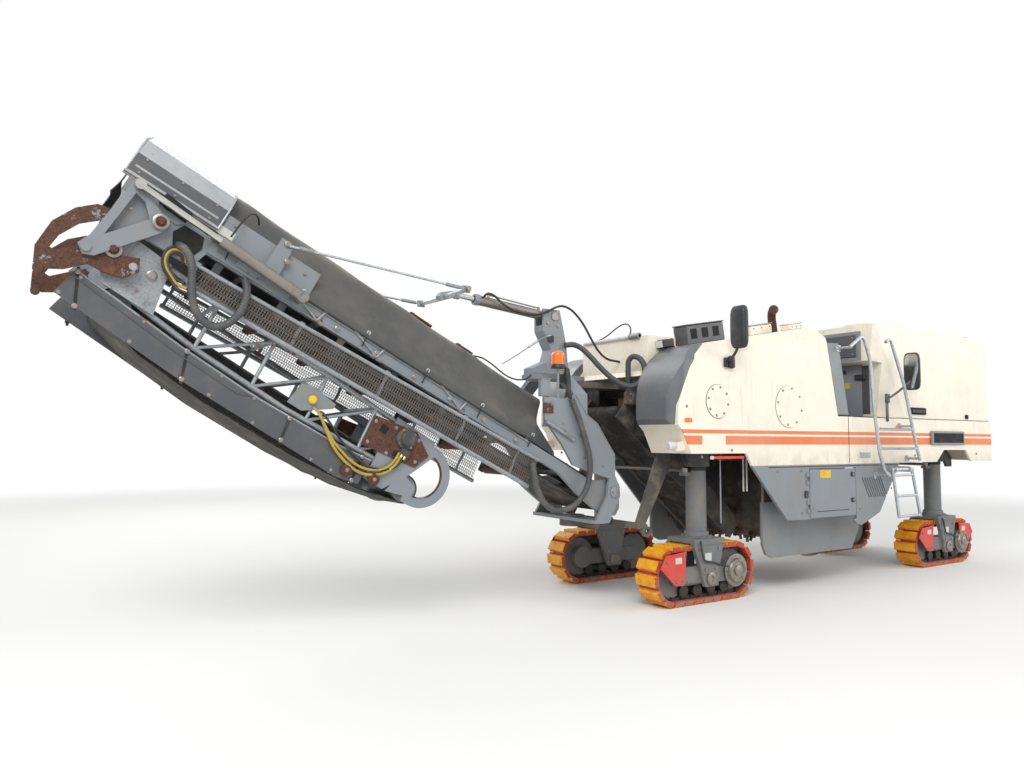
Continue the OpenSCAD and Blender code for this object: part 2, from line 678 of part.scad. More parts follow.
// The boom's side frames: beams, foot plates, head plates, the hoist's anchors and the pins
module boom_sides() {
    color("lightslategray") on_boom() both_sides() difference() {
        union() {
            box(-90, boom_len - 60, boom_half - bracket_t, boom_half, -beam_h - 10, -10);
            side_run(boom_half - bracket_t, boom_half) polygon([[-160, -90], [-150, -170], [-40, -225],
                [125, -220], [350, -180], [620, -beam_h - 10], [620, -10], [250, -10], [60, 110],
                [-60, 110]]);
            side_run(boom_half - bracket_t, boom_half) polygon([[boom_len - 500, -30],
                [boom_len - 440, -240], [boom_len - 90, -240], [boom_len - 80, -fold_drop - 30],
                [boom_len + 80, -fold_drop - 30], [boom_len + 110, -60], [boom_len + 60, 70],
                [boom_len - 440, 70]]);
            side_run(boom_half, boom_half + 12) polygon([[side_s0, -100], [cover_s1, -100],
                [cover_s1, 215], [side_s0, 215]]);
            side_run(boom_half + 12, boom_half + 44) polygon([[anchor[0] - 60, 0],
                [anchor[0] + 60, 0], [anchor[0] + 50, anchor[1] + 40], [anchor[0] - 50, anchor[1] + 40]]);
            cross_bar(0, 0, 35, boom_half - bracket_t, boom_pin_y);
            cross_bar(lever_pin[0], lever_pin[1], 30, boom_half - 10, lever_y + lever_t);
            cross_bar(fc_butt[0], fc_butt[1], 22, boom_half - 10, cyl_y + 30);
        }
        cross_bar(boom_len, -fold_drop, 38 + run_gap, boom_half - bracket_t - 1, boom_half + 1);
    }
}
cover_s0 = 980;
cover_s1 = boom_len - 470;
side_s0 = boom_len - 1210;
anchor = [boom_len - 893, 240];
belt_end = boom_len - 50;
cover_rise = 520;
// The arched outline of the hoops, grown by a distance for the cover over them
module arch(g = 0) {
    polygon([[-boom_half - g, -12], [-boom_half - g, 30], [-222 - g, cover_rise - 90 + g / 2],
        [-52 - g / 2, cover_rise - 30 + g], [52 + g / 2, cover_rise - 30 + g],
        [222 + g, cover_rise - 90 + g / 2], [boom_half + g, 30], [boom_half + g, -12]]);
}
module section_run(s0, s1) {
    translate([s0, 0, 0]) rotate([90, 0, 90]) linear_extrude(s1 - s0) children();
}
module cover_hoops() {
    for (i = [0 : 4])
        section_run(cover_s0 + 60 + i * (cover_s1 - cover_s0 - 150) / 4, cover_s0 + 90 + i
            * (cover_s1 - cover_s0 - 150) / 4) difference() {
            arch();
            polygon([[-boom_half + 30, -13], [-boom_half + 30, 22], [-205, cover_rise - 122],
                [-45, cover_rise - 64], [45, cover_rise - 64], [205, cover_rise - 122],
                [boom_half - 30, 22], [boom_half - 30, -13]]);
            translate([-boom_half - 1, -14]) square([2 * boom_half + 2, 4]);
        }
}
tarp_t = 12;
module boom_tarp() {
    color("dimgray") on_boom() difference() {
        section_run(cover_s0, cover_s1) difference() {
            arch(tarp_t + 1);
            arch(1);
            translate([-boom_half - 0.9, -30]) square([2 * boom_half + 1.8, 40]);
        }
        box(side_s0 - 5, cover_s1 + 1, -600, 600, -40, 225);
    }
}
// The head cover's sides hang between the boom and the fold levers
head_half = lever_y - move_gap;
module head_profile(t = 0) {
    polygon([[-head_half + t, 80 - t], [-head_half + t, 240 - t], [-boom_half + 40 + t, 360 - t],
        [-60, 525 - t], [60, 525 - t], [boom_half - 40 - t, 360 - t], [head_half - t, 240 - t],
        [head_half - t, 80 - t]]);
}
module head_cover() {
    color("gainsboro") on_boom() {
        section_run(cover_s1 + 10, boom_len + 210) difference() {
            head_profile();
            head_profile(6);
        }
        both_sides() for (s = [boom_len - 400, boom_len + 20])
            box(s, s + 40, boom_half - 20, head_half - 5.5, 70, 90);
    }
}
guard_s0 = 900;
// The guards taper: heights of their upper edge at the foot and at the head
guard_n0 = -beam_h - 18;
guard_n1 = -beam_h - 122;
guard_foot = 30;
function guard_top(s) = guard_n0 + (guard_n1 - guard_n0) * (s - guard_s0) / (cover_s1 - guard_s0);
function guard_low(s) = guard_n0 - guard_h - guard_foot * (s - guard_s0) / (cover_s1 - guard_s0);
module boom_guards() {
    color("gray") on_boom() both_sides() {
        rod([guard_s0, boom_half + 30, guard_n0], [cover_s1, boom_half + 30, guard_n1], 16);
        rod([guard_s0, boom_half + 30, guard_low(guard_s0)], [cover_s1, boom_half + 30, guard_low(cover_s1)], 16);
        difference() {
            side_run(boom_half + 26, boom_half + 32) polygon([[guard_s0, guard_low(guard_s0)],
                [cover_s1, guard_low(cover_s1)], [cover_s1, guard_n1], [guard_s0, guard_n0]]);
            for (s = [guard_s0 + 20 : 90 : cover_s1 - 90], k = [0 : 2]) {
                low = guard_low(s) + 22;
                row = (guard_top(s + 76) - 22 - low) / 3;
                box(s, s + 76, boom_half + 25, boom_half + 33, low + k * row, low + (k + 1) * row - 14);
            }
        }
        for (s = [guard_s0 + 60 : 700 : side_s0 - 60])
            box(s, s + 40, boom_half, boom_half + 24, guard_top(s) - 4, -beam_h + 40);
    }
}
belt_drum_r = 105;
module boom_belt() {
    color("black") on_boom() side_run(-belt_w / 2, belt_w / 2) translate([0, -70]) difference() {
        belt_loop(0, belt_end, belt_drum_r + belt_t);
        belt_loop(0, belt_end, belt_drum_r);
    }
}

// Folding section, drawn as it is parked under the boom, in X and Z from the fold pin
truss_top = 135;
board_t = 20;
fold_belt_z = -270;
fold_belt_x = -200;
module fold_frame() {
    $fn = 24;
    y = fold_half - board_t - tube_r - run_gap;
    color("silver") on_fold() {
        both_sides() {
            rod([-250, y, truss_top], [-2330, y, truss_top], tube_r);
            bent_tube(low_chord, y, tube_r, 400);
            for (x = uprights) rod([x, y, truss_top], [x - 30, y, low_z(x)], 14);
            for (x = uprights) rod([x - 30, y, low_z(x)], [x - 480, y, truss_top], 12);
            side_run(fold_half - board_t - 10, fold_half) polygon([[-420, -205], [-330, 150],
                [-90, 160], [60, 60], [60, -60], [-60, -205]]);
            cross_bar(0, 0, 38, fold_half - board_t, boom_half);
            cross_bar(link_pin[0], link_pin[1], 25, fold_half - board_t, link_y + link_t);
        }
        for (x = uprights) {
            rod([x, -y, truss_top], [x, y, truss_top], 16);
        }
        rod([-300, -y, truss_top], [-300, y, truss_top], 25);
    }
}
tube_r = 20;
low_chord = [[-126, -176], [-755, -235], [-1490, -250], [-2330, -200]];
function low_z(x) = lookup(-x, [for (p = low_chord) [-p[0], p[1]]]);
uprights = [-720, -1180, -1640, -2100];
// Pins of the fold links: on the folding section and on the levers
link_pin = [-150, -20];
lever_end = [130, -88];
module fold_links() {
    color("rosybrown") on_fold() difference() {
        union() {
            both_sides() side_run(link_y, link_y + link_t)
                polygon([[150, 215], [230, 190], [310, 90], [362, -62], [350, -245], [300, -335],
                    [225, -330], [149, -274], [64, -165], [-35, -155], [-145, -118], [-197, -29],
                    [-154, 50], [17, -40], [100, -20], [175, -110], [250, -205], [285, -205],
                    [285, -110], [240, 20], [140, 140]]);
            both_sides() cross_bar(nose[0], nose[1], nose_r, fold_half + move_gap, link_y + link_t);
        }
        both_sides() cross_bar(link_pin[0], link_pin[1], 25 + run_gap, link_y - 1, link_y + link_t + 1);
    }
}
// Fold levers on the boom: seat of the rod's pin on top, boss over the link's pin at the lower front
module fold_levers() {
    color("silver") on_boom() both_sides() difference() {
        union() {
            side_run(lever_y, lever_y + lever_t) difference() {
                translate([boom_len, 0]) polygon([[35, 20], [50, 65], [120, 60], [155, -420], [185, -500],
                    [130, -548], [70, -520], [-180, -160], [-195, -90], [-170, -55], [-120, -50]]);
                translate([boom_len, 0]) polygon([[0, -45], [75, -25], [92, -370], [-75, -130]]);
            }
            cross_bar(lever_tip[0], lever_tip[1], 30, lever_y + 1, lever_y + lever_t + 14);
        }
        cross_bar(lever_pin[0], lever_pin[1], 30 + run_gap, lever_y - 1, lever_y + lever_t + 1);
    }
}
lever_tip = [boom_len + lever_end[0] * cos(fold_lean) - lever_end[1] * sin(fold_lean),
    -fold_drop + lever_end[0] * sin(fold_lean) + lever_end[1] * cos(fold_lean)];
// The belt's loop, with its lower run hanging slack while the section is folded
module slack_loop(r) {
    belt_loop(-fold_len, fold_belt_x, r);
    polygon([[fold_belt_x, -r], [-fold_len, -r], [-fold_len + 350, -r - 75], [-1700, -r - 118],
        [-1000, -r - 118], [-500, -r - 75]]);
}
module fold_belt() {
    color("black") on_fold() side_run(-belt_w / 2, belt_w / 2) translate([0, fold_belt_z]) difference() {
        slack_loop(belt_drum_r + belt_t);
        slack_loop(belt_drum_r);
    }
}
module fold_cover() {
    color("darkslategray") on_fold() both_sides()
        side_run(fold_half - board_t, fold_half) polygon([[119, -412], [96, -217], [-691, -274],
            [-1259, -292], [-2000, -262], [-2260, -232], [-2260, -440], [-2072, -478], [-752, -468]]);
}
module fold_head() {
    color("gray") on_fold() {
        both_sides() {
            side_run(fold_half - board_t, fold_half) {
                difference() {
                    polygon([[-2275, 165], [-fold_len, 165], [-fold_len - 60, 60], [-fold_len + 60, -180],
                        [-fold_len + 200, -375], [-2275, -375]]);
                    translate([-fold_len + 120, -60]) square([150, 110]);
                }
                polygon([[-fold_len + 120, -180], [-fold_len - 45, -230], [-fold_len - 50, -315],
                    [-fold_len + 170, -375]]);
                translate([-fold_len - 40, -120]) difference() {
                    circle(r = 255);
                    circle(r = 185);
                    translate([60, -300]) square([300, 600]);
                }
            }
            cross_bar(-fold_len, fold_belt_z, 25, belt_w / 2 - 10, fold_half);
        }
        for (x = [-fold_len, fold_belt_x])
            cross_bar(x, fold_belt_z, belt_drum_r - run_gap, -belt_w / 2, belt_w / 2);
        cross_bar(fold_belt_x, fold_belt_z, 25, -fold_half + board_t, fold_half - board_t);
        cross_bar(-2390, 100, 20, -fold_half + board_t - 2, fold_half - board_t + 2);
    }
}

// Fold cylinders beside the boom, hoist cylinder from the mast to the yoke of the stays
fc_butt = [boom_len - 1157, -33];
fc_eye = [boom_len + 79, 27];
fc_mid = [boom_len - 510, -2];
module fold_barrel() {
    color("slategray") on_boom() both_sides() difference() {
        union() {
            rod([fc_butt[0], cyl_y, fc_butt[1]], [fc_mid[0], cyl_y, fc_mid[1]], 40);
            cross_bar(fc_butt[0], fc_butt[1], 45, cyl_y - 30, cyl_y + 30);
        }
        cross_bar(fc_butt[0], fc_butt[1], 22 + run_gap, cyl_y - 50, cyl_y + 50);
        rod([fc_butt[0] + 200, cyl_y, fc_butt[1] + 9.7], [fc_eye[0], cyl_y, fc_eye[1]], 22 + run_gap);
    }
}
module fold_rod() {
    color("white") on_boom() both_sides() {
        union() {
            rod([fc_mid[0] - 250, cyl_y, fc_mid[1] - 12], [fc_eye[0], cyl_y, fc_eye[1]], 22);
            cross_bar(fc_eye[0], fc_eye[1], 34, cyl_y - 24, cyl_y + 24);
            cross_bar(fc_eye[0], fc_eye[1], 18, lever_y + lever_t + run_gap, cyl_y + 30);
        }
    }
}
hoist_eye = [2270, 2800];
yoke_end = [2390, 2766];
hoist_dir = (hoist_eye - [mast_x, mast_z]) / norm(hoist_eye - [mast_x, mast_z]);
function on_hoist(d, y = 0) = [mast_x + d * hoist_dir[0], y, mast_z + d * hoist_dir[1]];
module hoist_barrel() {
    color("slategray") difference() {
        union() {
            rod(on_hoist(60), on_hoist(840), 46);
            cross_bar(mast_x, mast_z, 48, -49.7, 49.7);
            cross_bar(mast_x, mast_z, 25, -75, 75);
            rod(on_hoist(0), on_hoist(100), 35);
        }
        rod(on_hoist(110), on_hoist(900), 25 + run_gap);
    }
}
module hoist_rod() {
    color("white") rod(on_hoist(235), on_hoist(1010), 25);
}
module hoist_stays() {
    e = along(anchor[0], anchor[1]);
    color("gray") {
        rod(on_hoist(1010), on_hoist(1050), 40);
        both_sides() {
            rod(on_hoist(1030), [yoke_end[0], 420, yoke_end[1]], 18);
            rod([yoke_end[0], 420, yoke_end[1]], [pin_x + e[0] - 20, boom_half + 60, pin_z + e[1]], 9);
        }
        rod([yoke_end[0], -420, yoke_end[1]], [yoke_end[0], 420, yoke_end[1]], 16);
    }
}

// Tracks and their carriers, drawn about their own column axis
track_r = track_h / 2;
track_a = (track_len - track_h) / 2;
pitch_r = track_r - pad_t - band_t / 2;
loop_len = 4 * track_a + 2 * PI * pitch_r;
// Place and heading of a point a distance t along the loop
function loop_at(t) =
    t < 2 * track_a ? [t - track_a, -pitch_r, 0] :
    t < 2 * track_a + PI * pitch_r ?
        let (w = (t - 2 * track_a) / pitch_r * 180 / PI)
        [track_a + pitch_r * sin(w), -pitch_r * cos(w), w] :
    t < 4 * track_a + PI * pitch_r ?
        [track_a - (t - 2 * track_a - PI * pitch_r), pitch_r, 180] :
        let (w = (t - 4 * track_a - PI * pitch_r) / pitch_r * 180 / PI)
        [-track_a - pitch_r * sin(w), pitch_r * cos(w), 180 + w];
module track() {
    shoe_l = loop_len / shoe_count * 0.86;
    color("goldenrod") side_run(-track_w / 2, track_w / 2) translate([0, track_r]) {
        difference() {
            belt_loop(-track_a, track_a, pitch_r + band_t / 2 - 8);
            belt_loop(-track_a, track_a, pitch_r - band_t / 2);
        }
        for (i = [0 : shoe_count - 1]) {
            p = loop_at(loop_len * i / shoe_count);
            translate([p[0], p[1]]) rotate(p[2])
                translate([-shoe_l / 2, -band_t / 2 - pad_t]) square([shoe_l, pad_t + 20]);
        }
    }
}
module carrier() {
    fy = track_w / 2 + 12;
    color("gray") {
        translate([0, 0, yoke_z + yoke_t - 10]) cylinder(h = guide_z1 - yoke_z - 120, r = column_r);
        box(-190, 205, -fy - fork_t, fy + fork_t, yoke_z, yoke_z + yoke_t);
        box(0, tie_x + 35, -35, 35, arm_z - 30, arm_z);
        translate([tie_x, 0, arm_z - 1]) cylinder(h = 2 * tie_r + 3, r = 14);
        for (s = [-1, 1]) translate([0, s * (fy + fork_t / 2), 0])
            side_run(-fork_t / 2, fork_t / 2) polygon([[-150, yoke_z], [222, yoke_z], [75, 165],
                [-100, 165]]);
        cross_bar(0, track_r, 45, -fy, fy);
        box(-track_a, track_a, -70, 70, track_r - 90, track_r + 60);
        for (x = [-track_a, track_a]) cross_bar(x, track_r, pitch_r - band_t / 2 - run_gap, -55, 55);
        cross_bar(-track_a, track_r, 118, 50, fy + 10);
        cross_bar(track_a, track_r, 110, -fy, -50);
    }
}
// The guards' outlines are drawn for this half length of track
guard_reach = 665;
module guard_plate(foot) {
    fy = track_w / 2 + 22;
    translate([track_len / 2 - guard_reach, 0, 0]) {
        side_run(fy, fy + 10) polygon([[300, 500], [550, 480], [620, 370], [445, 205], [330, 200]]);
        if (foot) side_run(60, fy + 1) translate([300, track_r + 60 + run_gap]) square([60, 55]);
    }
}
module guards(rear) {
    color("tomato") {
        guard_plate(true);
        if (rear) mirror([1, 0, 0]) guard_plate(false);
    }
}
module leg_place(x, side) {
    translate([x, side * column_y, 0]) mirror([0, side < 0 ? 1 : 0, 0]) children();
}
module front_left_track() leg_place(0, 1) track();
module front_right_track() leg_place(0, -1) track();
module rear_left_track() leg_place(rear_x, 1) track();
module rear_right_track() leg_place(rear_x, -1) track();
module front_left_carrier() leg_place(0, 1) carrier();
module front_right_carrier() leg_place(0, -1) carrier();
module rear_left_carrier() leg_place(rear_x, 1) carrier();
module rear_right_carrier() leg_place(rear_x, -1) carrier();
module front_left_guards() leg_place(0, 1) guards(false);
module front_right_guards() leg_place(0, -1) guards(false);
module rear_left_guards() leg_place(rear_x, 1) guards(true);
module rear_right_guards() leg_place(rear_x, -1) guards(true);

arm_z = 1215;
tie_r = 20;
tie_x = 150;
module tie_rod(x) {
    z = arm_z + tie_r + run_gap;
    color("gray") difference() {
        union() {
            rod([x + tie_x, -column_y, z], [x + tie_x, column_y, z], tie_r - 2);
            both_sides() translate([x + tie_x, column_y, z - tie_r]) cylinder(h = 2 * tie_r, r = 34);
        }
        both_sides() translate([x + tie_x, column_y, z - tie_r - 1])
            cylinder(h = 2 * tie_r + 2, r = 14 + run_gap);
    }
}
module front_tie_rod() tie_rod(0);
module rear_tie_rod() tie_rod(rear_x);

// Access ladder on the left: two bent handrails, their stiles and a lower flight
ladder_y = body_half + 150;
fold_bar_z = 1215;
lug_xs = [-2516, -2788];
// A foot from a rail to the body: tube and flange
module rail_foot(x, z, face) {
    cross_bar(x, z, ladder_r - 3, face + 2, ladder_y);
    cross_bar(x, z, 2 * ladder_r, face + run_gap, face + 8);
}
module upper_ladder() {
    color("silver") {
        bent_tube([[-1760, 2500], [-2000, 2644], [-2115, 2385], [-2163, 1852], [-2250, 1374],
            [-2334, 1200], [-2420, 1150]], ladder_y, ladder_r, 60);
        rail_foot(-1780, 2500, body_half - 10);
        rail_foot(-2400, 1150, body_half);
        bent_tube([[-2420, 2600], [-2506, 2652], [-2754, 2145], [-2941, 1536], [-3030, 1310]], ladder_y,
            ladder_r, 50);
        rail_foot(-2893, 1690, body_half);
        rail_foot(-3020, 1330, body_half);
        for (z = [1440, 1650])
            rod([z > 1500 ? -2200 : -2238, ladder_y, z], [z > 1500 ? -2906 : -2970, ladder_y, z], ladder_r - 3);
        difference() {
            for (x = lug_xs) {
                box(x - 6, x + 6, body_half, ladder_y + 30, fold_bar_z - 30, fold_bar_z + 30);
            }
            rod([lug_xs[1] - 60, ladder_y, fold_bar_z], [lug_xs[0] + 60, ladder_y, fold_bar_z],
                ladder_r + run_gap);
        }
    }
}
module lower_ladder() {
    x0 = -2478;
    x1 = x0 - ladder_w + 40;
    color("silver") {
        rod([x0 + 22, ladder_y, fold_bar_z], [x1 - 22, ladder_y, fold_bar_z], ladder_r);
        rod([x0, ladder_y, fold_bar_z], [x0 - 104, ladder_y, 690], ladder_r - 1);
        rod([x1, ladder_y, fold_bar_z], [x1 - 145, ladder_y, 690], ladder_r - 1);
        for (t = [0.12, 0.55, 0.97]) {
            z = fold_bar_z + t * (690 - fold_bar_z);
            rod([x0 - 104 * t, ladder_y, z], [x1 - 145 * t, ladder_y, z], ladder_r - 3);
        }
    }
}
// Mirrors: a big one on the left by the front, a smaller one on each side by the hood
module mirrors() {
    color("dimgray") {
        side_run(body_half + run_gap, body_half + 22) translate([-80, 2200]) square([80, 90]);
        rod([-40, body_half + 12, 2250], [-40, body_half + 150, 2420], 14);
        box(-70, -20, body_half + 60, body_half + 240, 2365, 2765);
        both_sides() {
            side_run(body_half + run_gap, body_half + 22) translate([-2690, 1950]) square([70, 100]);
            rod([-2655, body_half + 12, 2000], [-2860, body_half + 190, 2200], 12);
            box(-2880, -2840, body_half + 100, body_half + 280, 2090, 2510);
        }
    }
}
// Boxes and the bent pipe on the front roof, drawn along its slope
module roof_fittings() {
    color("wheat") translate([300, 0, roof_front_z + run_gap]) rotate([0, roof_slope, 0]) {
        box(-840, -300, 440, 620, 0, 200);
        box(-1620, -1280, 440, 600, 0, 110);
        box(-1830, -1610, 700, 830, 0, 60);
        translate([-1700, 550, 0]) cylinder(h = 190, r = 46);
        rod([-1700, 550, 160], [-1650, 620, 235], 44);
    }
}
module beacon() {
    color("orange") translate([beacon_at[0], beacon_at[1], 2150]) cylinder(h = 160, r = 66);
}

module place() {
    translate([frame_x, 0, 0]) children();
}
place() main_frame();
place() slew_bracket();
place() front_body();
place() front_fairings();
place() rear_body();
place() engine_hood();
place() hood_grille();
place() engine_block();
place() platform();
place() console();
place() hood_panels();
place() left_skirt();
place() right_skirt();
place() service_door();
place() drum_housing();
place() milling_drum();
place() left_side_plate();
place() right_side_plate();
place() scraper();
place() primary_conveyor();
place() primary_belt();
place() slew_frame();
place() mast();
place() boom_frame();
place() boom_sides();
place() boom_guards();
place() boom_belt();
place() boom_tarp();
place() head_cover();
place() fold_levers();
place() fold_links();
place() fold_frame();
place() fold_belt();
place() fold_cover();
place() fold_head();
place() fold_barrel();
place() fold_rod();
place() hoist_barrel();
place() hoist_rod();
place() hoist_stays();
place() front_left_track();
place() front_left_carrier();
place() front_left_guards();
place() front_right_track();
place() front_right_carrier();
place() front_right_guards();
place() rear_left_track();
place() rear_left_carrier();
place() rear_left_guards();
place() rear_right_track();
place() rear_right_carrier();
place() rear_right_guards();
place() front_tie_rod();
place() rear_tie_rod();
place() upper_ladder();
place() lower_ladder();
place() mirrors();
place() roof_fittings();
place() beacon();
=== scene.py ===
"""Looks of a compact cold planer on four tracks, with a folding front conveyor.

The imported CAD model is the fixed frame. Each class below dresses one sub-assembly of the machine.
Lengths are metres. Working coordinates have X = 0 at the front column axis, Y to the machine's left
and Z up from the ground; a `Place` turns them, or a tilted part's own coordinates, into the frame's.
"""
import json
import logging
import math
from dataclasses import dataclass
from enum import Enum
from typing import Any, Optional, Sequence, Union

import bpy
import numpy as np
from mathutils import Matrix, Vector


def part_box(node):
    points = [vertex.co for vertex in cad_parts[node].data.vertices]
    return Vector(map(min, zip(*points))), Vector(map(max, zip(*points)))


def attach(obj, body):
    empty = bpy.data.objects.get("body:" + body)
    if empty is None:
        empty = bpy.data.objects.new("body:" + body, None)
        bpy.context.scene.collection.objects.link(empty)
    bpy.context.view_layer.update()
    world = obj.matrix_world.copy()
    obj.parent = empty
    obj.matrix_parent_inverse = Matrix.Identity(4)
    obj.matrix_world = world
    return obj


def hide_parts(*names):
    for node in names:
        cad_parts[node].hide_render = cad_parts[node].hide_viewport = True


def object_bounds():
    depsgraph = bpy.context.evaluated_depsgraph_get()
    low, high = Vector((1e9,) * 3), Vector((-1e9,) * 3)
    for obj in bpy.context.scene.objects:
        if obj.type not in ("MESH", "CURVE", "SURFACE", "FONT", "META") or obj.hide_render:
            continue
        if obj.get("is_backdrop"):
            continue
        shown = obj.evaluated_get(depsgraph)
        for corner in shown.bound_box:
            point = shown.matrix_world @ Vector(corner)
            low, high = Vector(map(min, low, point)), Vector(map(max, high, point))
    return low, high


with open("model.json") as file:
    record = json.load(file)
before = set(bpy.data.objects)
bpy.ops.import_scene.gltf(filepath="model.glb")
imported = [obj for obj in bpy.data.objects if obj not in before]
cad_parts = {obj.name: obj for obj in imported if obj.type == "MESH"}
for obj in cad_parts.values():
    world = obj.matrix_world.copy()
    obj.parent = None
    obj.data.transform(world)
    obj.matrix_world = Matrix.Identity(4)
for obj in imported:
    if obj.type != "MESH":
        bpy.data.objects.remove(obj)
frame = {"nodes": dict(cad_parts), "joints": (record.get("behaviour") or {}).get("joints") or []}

LOG = logging.getLogger("cold_planer")
TAU = 2 * math.pi
AHEAD, LEFT, UP = (1, 0, 0), (0, 1, 0), (0, 0, 1)
CAD_BOX = [list(corner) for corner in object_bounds()]

Array = np.ndarray
Number = Union[float, "Wire"]


# ---------------------------------------------------------------- places


@dataclass(frozen=True)
class Place:
    """A part's own coordinates: an origin in working coordinates and a tilt about the Y axis.

    Local points are (s, y, n): along the part, to the machine's left, and square to the part.
    """

    x: float = 0.0
    z: float = 0.0
    tilt: float = 0.0
    y: float = 0.0

    def row(self, points: Any) -> Array:
        """Turns local points into the frame's coordinates.

        Args:
            points: points as rows of (s, y, n).

        Returns:
            The same points as rows of (x, y, z) in the frame.
        """
        p = np.atleast_2d(np.asarray(points, float))
        c, s = math.cos(math.radians(self.tilt)), math.sin(math.radians(self.tilt))
        x = self.x + p[:, 0] * c - p[:, 2] * s + FRAME_X
        z = self.z + p[:, 0] * s + p[:, 2] * c
        return np.stack([x, p[:, 1] + self.y, z], axis=1)


def joint_origin(name: str) -> Array:
    """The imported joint's pivot, in the frame's coordinates."""
    return np.array(next(j["pos_m"] for j in frame["joints"] if j["name"] == name), float)


FRAME_X = float(joint_origin("front_steering")[0])
LIFT_PIN = joint_origin("conveyor_lift")
FOLD_PIN = joint_origin("conveyor_fold")
BODY = Place()
BOOM_TILT = 27.3
FOLD_TILT = 31.0
BOOM = Place(LIFT_PIN[0] - FRAME_X, LIFT_PIN[2], BOOM_TILT)
FOLD = Place(FOLD_PIN[0] - FRAME_X, FOLD_PIN[2], FOLD_TILT)
ROOF = Place(0.3, 2.4, -10.08)
BODY_FACE = 1.05  # Y of the body's sides
FILM = 0.0005  # keeps flat trim off the face behind it
COLUMN_Y = 0.69  # Y of the columns' axes
WHEELBASE = 4.22  # from the front columns to the rear ones


@dataclass(frozen=True)
class Leg:
    """One of the four track legs: its name, its place along the machine and its side, 1 for the left."""

    name: str
    x: float
    side: int

    @property
    def place(self) -> Place:
        """Its own coordinates, with the origin on the ground under its column."""
        return Place(self.x, 0.0, 0.0, self.side * COLUMN_Y)


LEGS = (Leg("front_left", 0, 1), Leg("front_right", 0, -1), Leg("rear_left", -WHEELBASE, 1),
        Leg("rear_right", -WHEELBASE, -1))


# ---------------------------------------------------------------- shapes


def unit(v: Array) -> Array:
    """The vectors of v, each of length one."""
    return v / np.maximum(np.linalg.norm(v, axis=-1, keepdims=True), 1e-12)


def loft(rings: Array, caps: bool = True, wrap: bool = False) -> tuple[Array, list]:
    """Joins closed rings of equal size with quads.

    Args:
        rings: an array (rings, points, 3).
        caps: closes the first and the last ring with one face each.
        wrap: joins the last ring to the first.

    Returns:
        Vertices and faces.
    """
    m, k, _ = rings.shape
    i = np.arange(m if wrap else m - 1)[:, None] * k
    j = np.arange(k)[None, :]
    nxt = (i + k) % (m * k)
    quads = np.stack([i + j, i + (j + 1) % k, nxt + (j + 1) % k, nxt + j], axis=-1).reshape(-1, 4)
    faces = quads.tolist()
    if caps and not wrap:
        faces += [list(range(k))[::-1], list(range((m - 1) * k, m * k))]
    return rings.reshape(-1, 3), faces


def sheet_grid(points: Array) -> tuple[Array, list]:
    """Quads over an open grid of points (rows, columns, 3)."""
    m, k, _ = points.shape
    i = np.arange(m - 1)[:, None] * k
    j = np.arange(k - 1)[None, :]
    quads = np.stack([i + j, i + j + 1, i + k + j + 1, i + k + j], axis=-1).reshape(-1, 4)
    return points.reshape(-1, 3), quads.tolist()


def smooth_path(points: Any, count: int = 60) -> Array:
    """A centripetal-style spline through points, sampled evenly by parameter.

    Each span is a cubic whose slopes are half the chord between its neighbours.
    """
    p = np.asarray(points, float)
    q = np.vstack([2 * p[0] - p[1], p, 2 * p[-1] - p[-2]])
    t = np.linspace(0, len(p) - 1 - 1e-9, count)
    k = t.astype(int)
    u = (t - k)[:, None]
    a, b, c, d = q[k], q[k + 1], q[k + 2], q[k + 3]
    return 0.5 * (2 * b + (c - a) * u + (2 * a - 5 * b + 4 * c - d) * u**2 + (3 * b - a - 3 * c + d) * u**3)


def even_path(points: Any, step: float) -> Array:
    """A smooth path through points with its samples about step apart along its length."""
    fine = smooth_path(points, 40 * len(points))
    d = np.concatenate([[0], np.cumsum(np.linalg.norm(np.diff(fine, axis=0), axis=1))])
    t = np.linspace(0, d[-1], max(2, int(round(d[-1] / step)) + 1))
    return np.stack([np.interp(t, d, fine[:, a]) for a in range(3)], axis=1)


def path_frames(path: Array) -> tuple[Array, Array]:
    """Two unit vectors square to a path at each point, with no sudden twist."""
    t = unit(np.gradient(path, axis=0))
    up = np.eye(3)[int(np.argmin(np.abs(t).max(axis=0)))]
    side = unit(np.cross(t, up))
    for i in range(1, len(side)):
        v = side[i - 1] - t[i] * (side[i - 1] @ t[i])
        side[i] = v / max(np.linalg.norm(v), 1e-9)
    return side, np.cross(side, t)


def tube(path: Any, radius: Any, sides: int = 12, caps: bool = True) -> tuple[Array, list]:
    """A round section carried along a path; the radius may vary from point to point."""
    path = np.asarray(path, float)
    side, up = path_frames(path)
    a = np.arange(sides) / sides * TAU
    r = np.broadcast_to(np.asarray(radius, float).reshape(-1, 1, 1), (len(path), 1, 1))
    ring = side[:, None] * np.cos(a)[None, :, None] + up[:, None] * np.sin(a)[None, :, None]
    return loft(path[:, None] + ring * r, caps)


def turned(profile: Any, origin: Any, axis: Any, sides: int = 24, hollow: bool = False) -> tuple[Array, list]:
    """A profile of (radius, height) turned about an axis.

    Args:
        profile: rows of radius and height, from the foot to the head.
        origin: where height 0 is.
        axis: direction in which height grows.
        sides: faces round the axis.
        hollow: the profile is a closed loop clear of the axis, listed from its inner foot outwards.
    """
    p = np.asarray(profile, float)
    z = unit(np.asarray(axis, float))
    x = unit(np.cross(z, [0.31, 0.2, 0.93] if abs(z[2]) < 0.9 else [1, 0, 0]))
    y = np.cross(z, x)
    a = np.arange(sides) / sides * TAU
    round_ = np.cos(a)[:, None] * x + np.sin(a)[:, None] * y
    rings = np.asarray(origin) + p[:, None, 1:2] * z + np.maximum(p[:, None, 0:1], 1e-5) * round_[None]
    if hollow:
        return loft(rings[::-1], wrap=True)
    return loft(rings)


